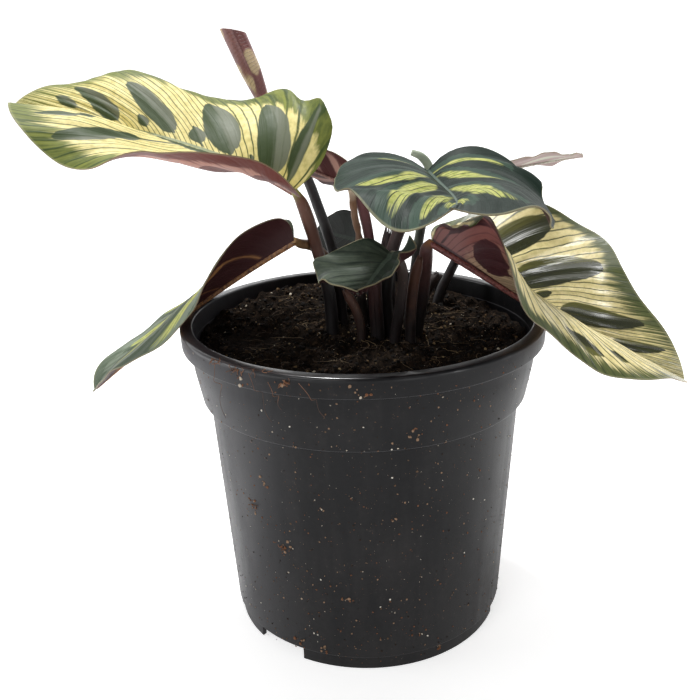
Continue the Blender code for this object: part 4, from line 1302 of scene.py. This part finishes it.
def scatter(name, placings, seed):
    """Copies of a rough crumb, each turned, sized and placed, in one mesh with a shade per crumb.

    A placing is (place in mm, size in mm, flattening, direction of its flat side, shade).
    """
    random = np.random.default_rng(seed)
    deselect()
    bpy.ops.mesh.primitive_ico_sphere_add(subdivisions=1, radius=0.5)
    crumb = bpy.context.object
    ball = read_points(crumb)
    corners = np.array([polygon.vertices[:] for polygon in crumb.data.polygons])
    bpy.data.objects.remove(crumb, do_unlink=True)
    points, polygons, shades = [], [], []
    for place, size, flat, up, shade in placings:
        shape = ball * (1 + 0.5 * (random.random((len(ball), 1)) - 0.5))
        shape = shape * (1.0, 0.55 + 0.6 * random.random(), flat)
        turn = np.array(Matrix.Rotation(random.random() * 2 * math.pi, 3, "Z"))
        tilt = np.array(Vector((0, 0, 1)).rotation_difference(Vector(up)).to_matrix())
        polygons.append(corners + len(ball) * len(points))
        points.append((shape * size) @ turn.T @ tilt.T + np.asarray(place, float))
        shades.append(np.full(len(ball), shade))
    mesh = bpy.data.meshes.new(name)
    mesh.from_pydata(np.vstack(points) * MM, [], np.vstack(polygons).tolist())
    piece = add_object(name, mesh)
    give_attribute(piece, "shade", np.concatenate(shades))
    return piece


def crumb_paint(name, stops):
    """A matt finish whose colour is chosen by each crumb's own shade."""
    paint = Paint(name, Roughness=0.9, Specular_IOR_Level=0.15)
    shade = paint.attribute("shade")
    colour = tone(stops[0][1])
    for start, code in stops[1:]:
        colour = paint.mix(shade.between(start - 0.01, start + 0.01), colour, code)
    grain = paint.noise(paint.place(), 1500.0, 3.0)
    colour = paint.mix(grain.between(0.3, 0.8) * 0.4, colour, "1c1511")
    return paint.finish(Base_Color=colour, Normal=paint.bump(grain, 0.0003))


def fibre_paint(name, light, dark, scale, roughness):
    """A dull finish that changes between two tones along the fibres."""
    paint = Paint(name, Roughness=roughness)
    patches = paint.noise(paint.place(), scale, 2.0)
    colour = paint.mix(patches.between(0.35, 0.65), light, dark)
    return paint.finish(Base_Color=colour, Normal=paint.bump(patches, 0.0002))


def disc_place(random, reach):
    """A place anywhere on a round of soil."""
    radius = reach * math.sqrt(random.random())
    angle = random.random() * 2 * math.pi
    return radius * math.cos(angle), radius * math.sin(angle)


def peat_surface(settings):
    """Soil in the pot: a closed body whose top is rough with crumbs of many sizes."""
    profile = [*PEAT_WALL, (PEAT_RADIUS, SOIL_LEVEL - 2)]
    profile += [(PEAT_RADIUS * (1 - k / PEAT_RINGS), SOIL_LEVEL) for k in range(PEAT_RINGS)]
    piece = turned("peat", profile, PEAT_SIDES)
    points = read_points(piece) / MM
    for k in np.flatnonzero(points[:, 2] > SOIL_LEVEL - 1):
        points[k, 2] = peat_height(*points[k, :2], settings)
    write_points(piece, points * MM)
    paint = Paint("peat_finish", Roughness=0.95, Specular_IOR_Level=0.05)
    place = paint.place()
    coarse = paint.noise(place, 90.0, 4.0, 0.6)
    fine = paint.noise(place, 420.0, 4.0, 0.65)
    tiny = paint.noise(place, 1800.0)
    colour = paint.mix(fine.between(0.3, 0.75), "0b0908", "282019")
    colour = paint.mix(coarse.between(0.55, 0.75) * 0.6, colour, "2e241c")
    colour = paint.mix(tiny.between(0.66, 0.74) * 0.6, colour, "5e4c3a")
    relief = paint.bump(fine + 0.5 * tiny + 0.5 * coarse, 0.0012)
    dress(piece, paint.finish(Base_Color=colour, Normal=relief), crease=60)
    return settle(piece, "soil", "soil")


def peat_crumbs(settings):
    """Loose crumbs on the soil, mostly dark, with some tan, rust and white ones, and few in the dip."""
    random = np.random.default_rng(settings.seed)
    placings = []
    for _ in range(settings.crumbs):
        x, y = disc_place(random, CRUMB_REACH)
        in_dip = (x - SOIL_DIP[0]) ** 2 + (y - SOIL_DIP[1]) ** 2 < BARE_RADIUS**2
        if in_dip and random.random() < BARE_SHARE:
            continue
        shade = random.random()
        size = (0.6 + 2.3 * random.random() ** 4) * (0.6 if shade > PALE_CRUMB else 1.0)
        up = Vector((random.normal(), random.normal(), 2)).normalized()
        placings.append(((x, y, peat_height(x, y, settings) + 0.15), size, 0.6, up, shade))
    piece = scatter("peat_crumbs", placings, settings.seed + 1)
    dress(piece, crumb_paint("peat_crumb_finish", PEAT_STOPS))
    return settle(piece, "soil")


def wandering(start, heading, length, random, lift, settings):
    """A fibre's path that turns a little at each step, rises and falls, and stays on top of the soil."""
    points = [np.array(start, float)]
    slope = lift
    for _ in range(FIBRE_STEPS):
        heading += random.normal() * FIBRE_BEND
        step = length / FIBRE_STEPS
        points.append(points[-1] + step * np.array([math.cos(heading), math.sin(heading), slope]))
        slope -= 2 * lift / FIBRE_STEPS
        points[-1][2] = max(points[-1][2], peat_height(*points[-1][:2], settings) + 0.1)
    return smooth_path(points, 3)


def peat_fibres(settings):
    """Fine roots and fibres that lie on the soil or stand out of it in small loops."""
    random = np.random.default_rng(settings.seed + 5)
    paths, radii = [], []
    for _ in range(settings.fibres):
        x, y = disc_place(random, FIBRE_REACH)
        length = 3 + 19 * random.random() ** 2
        start = (x, y, peat_height(x, y, settings) + 0.3)
        path = wandering(start, random.random() * 7, length, random, 0.25 * random.random(), settings)
        if np.hypot(path[:, 0], path[:, 1]).max() < FIBRE_LIMIT:
            paths.append(path)
            radii.append(np.linspace(0.12, 0.05, len(path)) * (0.5 + 0.7 * random.random()))
    piece = tubes("peat_fibres", paths, radii, 1)
    dress(piece, fibre_paint("fibre_finish", "6e5c40", "2e2018", 60.0, 0.8))
    return settle(piece, "soil")


def wall_radius(height):
    """The outer wall's radius at a height, both in millimetres."""
    return float(np.interp(height, WALL_HEIGHTS, WALL_RADII))


def wall_place(angle, height):
    """The outer wall's point at an angle in degrees and a height in millimetres, and its way out."""
    turn = math.radians(angle)
    out = Vector((math.cos(turn), math.sin(turn), 0))
    radius = wall_radius(height)
    return np.array([radius * out.x, radius * out.y, height]), out


def wall_crumbs(settings):
    """Splashed potting mix on the outside of the pot, thick in a few places and thin all over."""
    random = np.random.default_rng(settings.seed + 9)
    placings = []
    for angle, height, spread, count in SPLASHES:
        for _ in range(count):
            turn = angle + random.normal() * spread * 0.55
            place, out = wall_place(turn, max(1.0, height + random.normal() * spread * 0.5))
            size = 0.5 + 1.1 * random.random() ** 1.5
            placings.append((place, size, 0.5, out, 0.4 + 0.55 * random.random()))
    for _ in range(settings.wall_specks):
        turn = random.normal(*SPECKLED_SIDE) if random.random() < SPECKLED_SHARE else random.random() * 360
        place, out = wall_place(turn, 2 + 130 * random.random())
        size = 0.2 + 0.75 * random.random() ** 3.2
        placings.append((place, size, 0.4, out, random.random()))
    piece = scatter("wall_crumbs", placings, settings.seed + 10)
    dress(piece, crumb_paint("wall_crumb_finish", WALL_STOPS))
    return settle(piece, "soil")


def clump_hair(place, length, random):
    """A short crooked hair that stays outside the pot's wall."""
    path = [place]
    direction = random.normal(size=3) * 0.6
    for _ in range(5):
        direction = direction + random.normal(size=3) * 0.5
        direction /= np.linalg.norm(direction)
        following = path[-1] + direction * length / 5 * random.random()
        if following[2] < RIM_HEIGHT:
            clear = (wall_radius(following[2]) + WALL_CLEARANCE) / np.hypot(*following[:2])
            following[:2] *= max(1.0, clear)
        path.append(following)
    return smooth_path(path, 3)


def hanging_hair(angle, top, drop, swing):
    """A long hair that hangs down the pot and stands off it in the middle."""
    path = []
    for f in np.linspace(0, 1, 12):
        place, out = wall_place(angle + swing * f + 1.2 * math.sin(5 * f), top - drop * f)
        path.append(place + np.array(out) * (0.5 + 2.2 * math.sin(math.pi * f)))
    return smooth_path(path, 3)


def rim_fibres(settings):
    """Rusty fibre clumps caught on the rim, with a few long hairs that hang down the pot."""
    random = np.random.default_rng(settings.seed + 13)
    paths, radii = [], []
    for angle, height, count, length in FIBRE_CLUMPS:
        for _ in range(count):
            place, _ = wall_place(angle + random.normal() * 1.4, height)
            paths.append(clump_hair(place, length, random))
            radii.append(np.full(len(paths[-1]), 0.07 + 0.08 * random.random()))
    for hair in HANGING_HAIRS:
        paths.append(hanging_hair(*hair))
        radii.append(np.full(len(paths[-1]), 0.08))
    piece = tubes("rim_fibres", paths, radii, 1)
    dress(piece, fibre_paint("rim_fibre_finish", "7a5238", "3c281c", 120.0, 0.85))
    return settle(piece, "soil")


def studio_floor(settings):
    """A pale floor that curves up into a backdrop."""
    deselect()
    remove_old("floor")
    bpy.ops.mesh.primitive_plane_add(size=1, location=(0, 0, 0))
    floor = bpy.context.object
    floor.name = "floor"
    floor.scale = (*FLOOR_SIZE, 1)
    bpy.ops.object.transform_apply(location=True, scale=True)
    edit(floor)
    bpy.ops.mesh.select_all(action="DESELECT")
    stop_edit()
    for edge in floor.data.edges:
        edge.select = all(floor.data.vertices[v].co.y > 1 for v in edge.vertices)
    bpy.ops.object.mode_set(mode="EDIT")
    bpy.ops.mesh.extrude_edges_move(TRANSFORM_OT_translate={"value": (0, 0, BACKDROP_HEIGHT)})
    stop_edit()
    apply_modifier(floor, "BEVEL", width=BACKDROP_BEND, segments=12, limit_method="ANGLE")
    paint = Paint("floor_finish", Roughness=0.9, Emission_Color=(1, 1, 1, 1), Emission_Strength=0.62)
    cloud = paint.noise(paint.place(), 3.0, 2.0)
    colour = paint.mix(cloud * 0.1, tuple(settings.floor), "e0e0e0")
    dress(floor, paint.finish(Base_Color=colour), crease=60)


def lamp(name, kind, place, aim, power, **settings):
    """A light of one kind that shines from its place towards its aim."""
    light = bpy.data.lights.new(name, kind)
    light.energy = power
    for key, value in settings.items():
        setattr(light, key, value)
    made = add_object(name, light)
    made.location = place
    made.rotation_euler = (Vector(aim) - Vector(place)).to_track_quat("-Z", "Y").to_euler()


def studio_lights():
    """Soft white air, three soft lights and the glint on the right leaf."""
    world = bpy.data.worlds.new("studio_air")
    world.use_nodes = True
    air = world.node_tree.nodes["Background"].inputs
    air["Color"].default_value = (1, 1, 1, 1)
    air["Strength"].default_value = AIR_STRENGTH
    bpy.context.scene.world = world
    for name, place, aim, size, power in SOFT_LIGHTS:
        lamp(name, "AREA", place, aim, power, size=size)
    beam = dict(shadow_soft_size=0.1, spot_size=math.radians(GLINT_CONE), spot_blend=0.6)
    lamp("leaf_glint", "SPOT", GLINT_PLACE, GLINT_AIM, GLINT_POWER, **beam)


def studio_camera(scene, settings):
    """The camera looks along +Y and down, with a little roll."""
    elevation, roll = settings.elevation, settings.roll
    back = Vector((0, -math.cos(elevation), math.sin(elevation)))
    level = Vector((1, 0, 0))
    upward = back.cross(level)
    right = math.cos(roll) * level + math.sin(roll) * upward
    upright = -math.sin(roll) * level + math.cos(roll) * upward
    data = bpy.data.cameras.new("camera")
    data.sensor_width = 36
    data.lens = settings.lens
    data.clip_start = 0.01
    camera = add_object("camera", data)
    turn = Matrix((right, upright, back)).transposed().to_4x4()
    camera.matrix_world = Matrix.Translation(Vector(settings.aim) + settings.distance * back) @ turn
    scene.camera = camera
    scene.view_settings.view_transform = "Standard"


class PotSettings(bpy.types.PropertyGroup):
    sides: bpy.props.IntProperty(name="Sides", description="Faces round the pot", default=192, min=24)
    notch_width: bpy.props.FloatProperty(
        name="Notch width", description="Width of each water notch in the foot", default=0.0243, unit="LENGTH"
    )
    notch_height: bpy.props.FloatProperty(
        name="Notch height", description="Height of each water notch", default=0.0054, unit="LENGTH"
    )
    plastic: bpy.props.FloatVectorProperty(
        name="Plastic", description="Colour of the pot", size=4, subtype="COLOR", default=tone("0f0f11")
    )
    dust: bpy.props.FloatVectorProperty(
        name="Dust", description="Colour of dust on the pot", size=4, subtype="COLOR", default=tone("2e2c2c")
    )


class SoilSettings(bpy.types.PropertyGroup):
    roughness: bpy.props.FloatProperty(
        name="Lumps", description="Height of the soil's lumps", default=0.0026, unit="LENGTH"
    )
    crumbs: bpy.props.IntProperty(name="Crumbs", description="Loose crumbs on the soil", default=7200)
    fibres: bpy.props.IntProperty(name="Fibres", description="Fine roots on the soil", default=150)
    wall_specks: bpy.props.IntProperty(name="Specks", description="Specks on the pot's wall", default=2400)
    seed: bpy.props.IntProperty(name="Seed", description="Start of the random draws", default=11)


class LeafSettings(bpy.types.PropertyGroup):
    rows: bpy.props.IntProperty(name="Rows", description="Rows along a large blade", default=190, min=20)
    columns: bpy.props.IntProperty(name="Columns", description="Columns in a half blade", default=34, min=6)
    thickness: bpy.props.FloatProperty(
        name="Thickness", description="Thickness of a blade", default=0.00045, unit="LENGTH"
    )
    valleys: bpy.props.FloatProperty(
        name="Valleys", description="Depth of the valley along a blotch", default=0.0009, unit="LENGTH"
    )
    quilting: bpy.props.FloatProperty(
        name="Quilting", description="Height of the puffs between veins", default=0.00018, unit="LENGTH"
    )
    line_spacing: bpy.props.FloatProperty(
        name="Line spacing", description="Distance between fine green lines", default=0.0024, unit="LENGTH"
    )


class StudioSettings(bpy.types.PropertyGroup):
    lens: bpy.props.FloatProperty(name="Lens", description="Focal length in millimetres", default=45.285)
    distance: bpy.props.FloatProperty(
        name="Distance", description="Camera to its aim", default=0.3761, unit="LENGTH"
    )
    elevation: bpy.props.FloatProperty(
        name="Elevation", description="Angle above the floor", default=math.radians(19.571), subtype="ANGLE"
    )
    roll: bpy.props.FloatProperty(
        name="Roll", description="Camera's roll", default=math.radians(-1.607), subtype="ANGLE"
    )
    aim: bpy.props.FloatVectorProperty(
        name="Aim", description="Point the camera looks at", size=3, subtype="TRANSLATION",
        default=(-0.0056, 0.0, 0.1178),
    )
    floor: bpy.props.FloatVectorProperty(
        name="Floor", description="Colour of the floor", size=4, subtype="COLOR",
        default=(0.86, 0.86, 0.86, 1.0),
    )


class PEACOCK_OT_pot(bpy.types.Operator):
    """Make the nursery pot"""

    bl_idname = "peacock.pot"
    bl_label = "Nursery pot"

    def execute(self, context):
        nursery_pot(context.scene.peacock_pot)
        return {"FINISHED"}


class PEACOCK_OT_soil(bpy.types.Operator):
    """Make the peat, its crumbs and fine roots"""

    bl_idname = "peacock.soil"
    bl_label = "Peat"

    def execute(self, context):
        for make in (peat_surface, peat_crumbs, peat_fibres):
            make(context.scene.peacock_soil)
        return {"FINISHED"}


class PEACOCK_OT_splashes(bpy.types.Operator):
    """Make the crumbs and fibres on the outside of the pot"""

    bl_idname = "peacock.splashes"
    bl_label = "Splashes on the pot"

    def execute(self, context):
        for make in (wall_crumbs, rim_fibres):
            make(context.scene.peacock_soil)
        return {"FINISHED"}


class PEACOCK_OT_leaves(bpy.types.Operator):
    """Make the leaf blades with their markings, and the rolled leaf"""

    bl_idname = "peacock.leaves"
    bl_label = "Leaf blades"

    def execute(self, context):
        for name in LEAVES:
            leaf_blade(name, context.scene.peacock_leaf)
        rolled_blade()
        return {"FINISHED"}


class PEACOCK_OT_stalks(bpy.types.Operator):
    """Make the stalks, the dried stalk and the young spear"""

    bl_idname = "peacock.stalks"
    bl_label = "Stalks"

    def execute(self, context):
        for name, data in STALKS.items():
            settle(stalk(name, data, name + "_stalk", SWELLING), "stalk", name + "_stalk")
        for name, data in SHOOTS.items():
            piece = stalk(name, data, name)
            if "knobs" in data:
                knobs(piece, *data["knobs"])
            settle(piece, data["slot"], name)
        return {"FINISHED"}


class PEACOCK_OT_sheaths(bpy.types.Operator):
    """Make the old leaf sheaths round the foot of the clump"""

    bl_idname = "peacock.sheaths"
    bl_label = "Old sheaths"

    def execute(self, context):
        for seed, (name, data) in enumerate(SHEATHS.items(), SHEATH_SEED):
            sheath(name, data, seed)
        return {"FINISHED"}


class PEACOCK_OT_studio(bpy.types.Operator):
    """Make the floor, the lights and the camera"""

    bl_idname = "peacock.studio"
    bl_label = "Studio"

    def execute(self, context):
        settings = context.scene.peacock_studio
        studio_floor(settings)
        studio_lights()
        studio_camera(context.scene, settings)
        return {"FINISHED"}


class PEACOCK_PT_panel(bpy.types.Panel):
    """The plant's pieces, each with its settings and buttons"""

    bl_idname = "PEACOCK_PT_panel"
    bl_label = "Peacock plant"
    bl_space_type = "VIEW_3D"
    bl_region_type = "UI"
    bl_category = "Peacock plant"

    def draw(self, context):
        for group, names in SHOWN.items():
            box = self.layout.box()
            settings = getattr(context.scene, group)
            for key in settings.bl_rna.properties.keys():
                if key not in ("rna_type", "name"):
                    box.prop(settings, key)
            for name in names:
                box.operator("peacock." + name)


SHOWN = {
    "peacock_pot": ("pot",),
    "peacock_soil": ("soil", "splashes"),
    "peacock_leaf": ("leaves", "stalks", "sheaths"),
    "peacock_studio": ("studio",),
}
GROUPS = {
    "peacock_pot": PotSettings,
    "peacock_soil": SoilSettings,
    "peacock_leaf": LeafSettings,
    "peacock_studio": StudioSettings,
}
CLASSES = (
    *GROUPS.values(),
    PEACOCK_OT_pot,
    PEACOCK_OT_soil,
    PEACOCK_OT_splashes,
    PEACOCK_OT_leaves,
    PEACOCK_OT_stalks,
    PEACOCK_OT_sheaths,
    PEACOCK_OT_studio,
    PEACOCK_PT_panel,
)


def register():
    for kind in CLASSES:
        bpy.utils.register_class(kind)
    for name, kind in GROUPS.items():
        setattr(bpy.types.Scene, name, bpy.props.PointerProperty(type=kind))


def unregister():
    for name in GROUPS:
        delattr(bpy.types.Scene, name)
    for kind in reversed(CLASSES):
        bpy.utils.unregister_class(kind)


def main():
    register()
    bpy.ops.peacock.studio()
    bpy.ops.peacock.pot()
    bpy.ops.peacock.soil()
    bpy.ops.peacock.splashes()
    bpy.ops.peacock.leaves()
    bpy.ops.peacock.stalks()
    bpy.ops.peacock.sheaths()


if __name__ == "__main__":
    main()
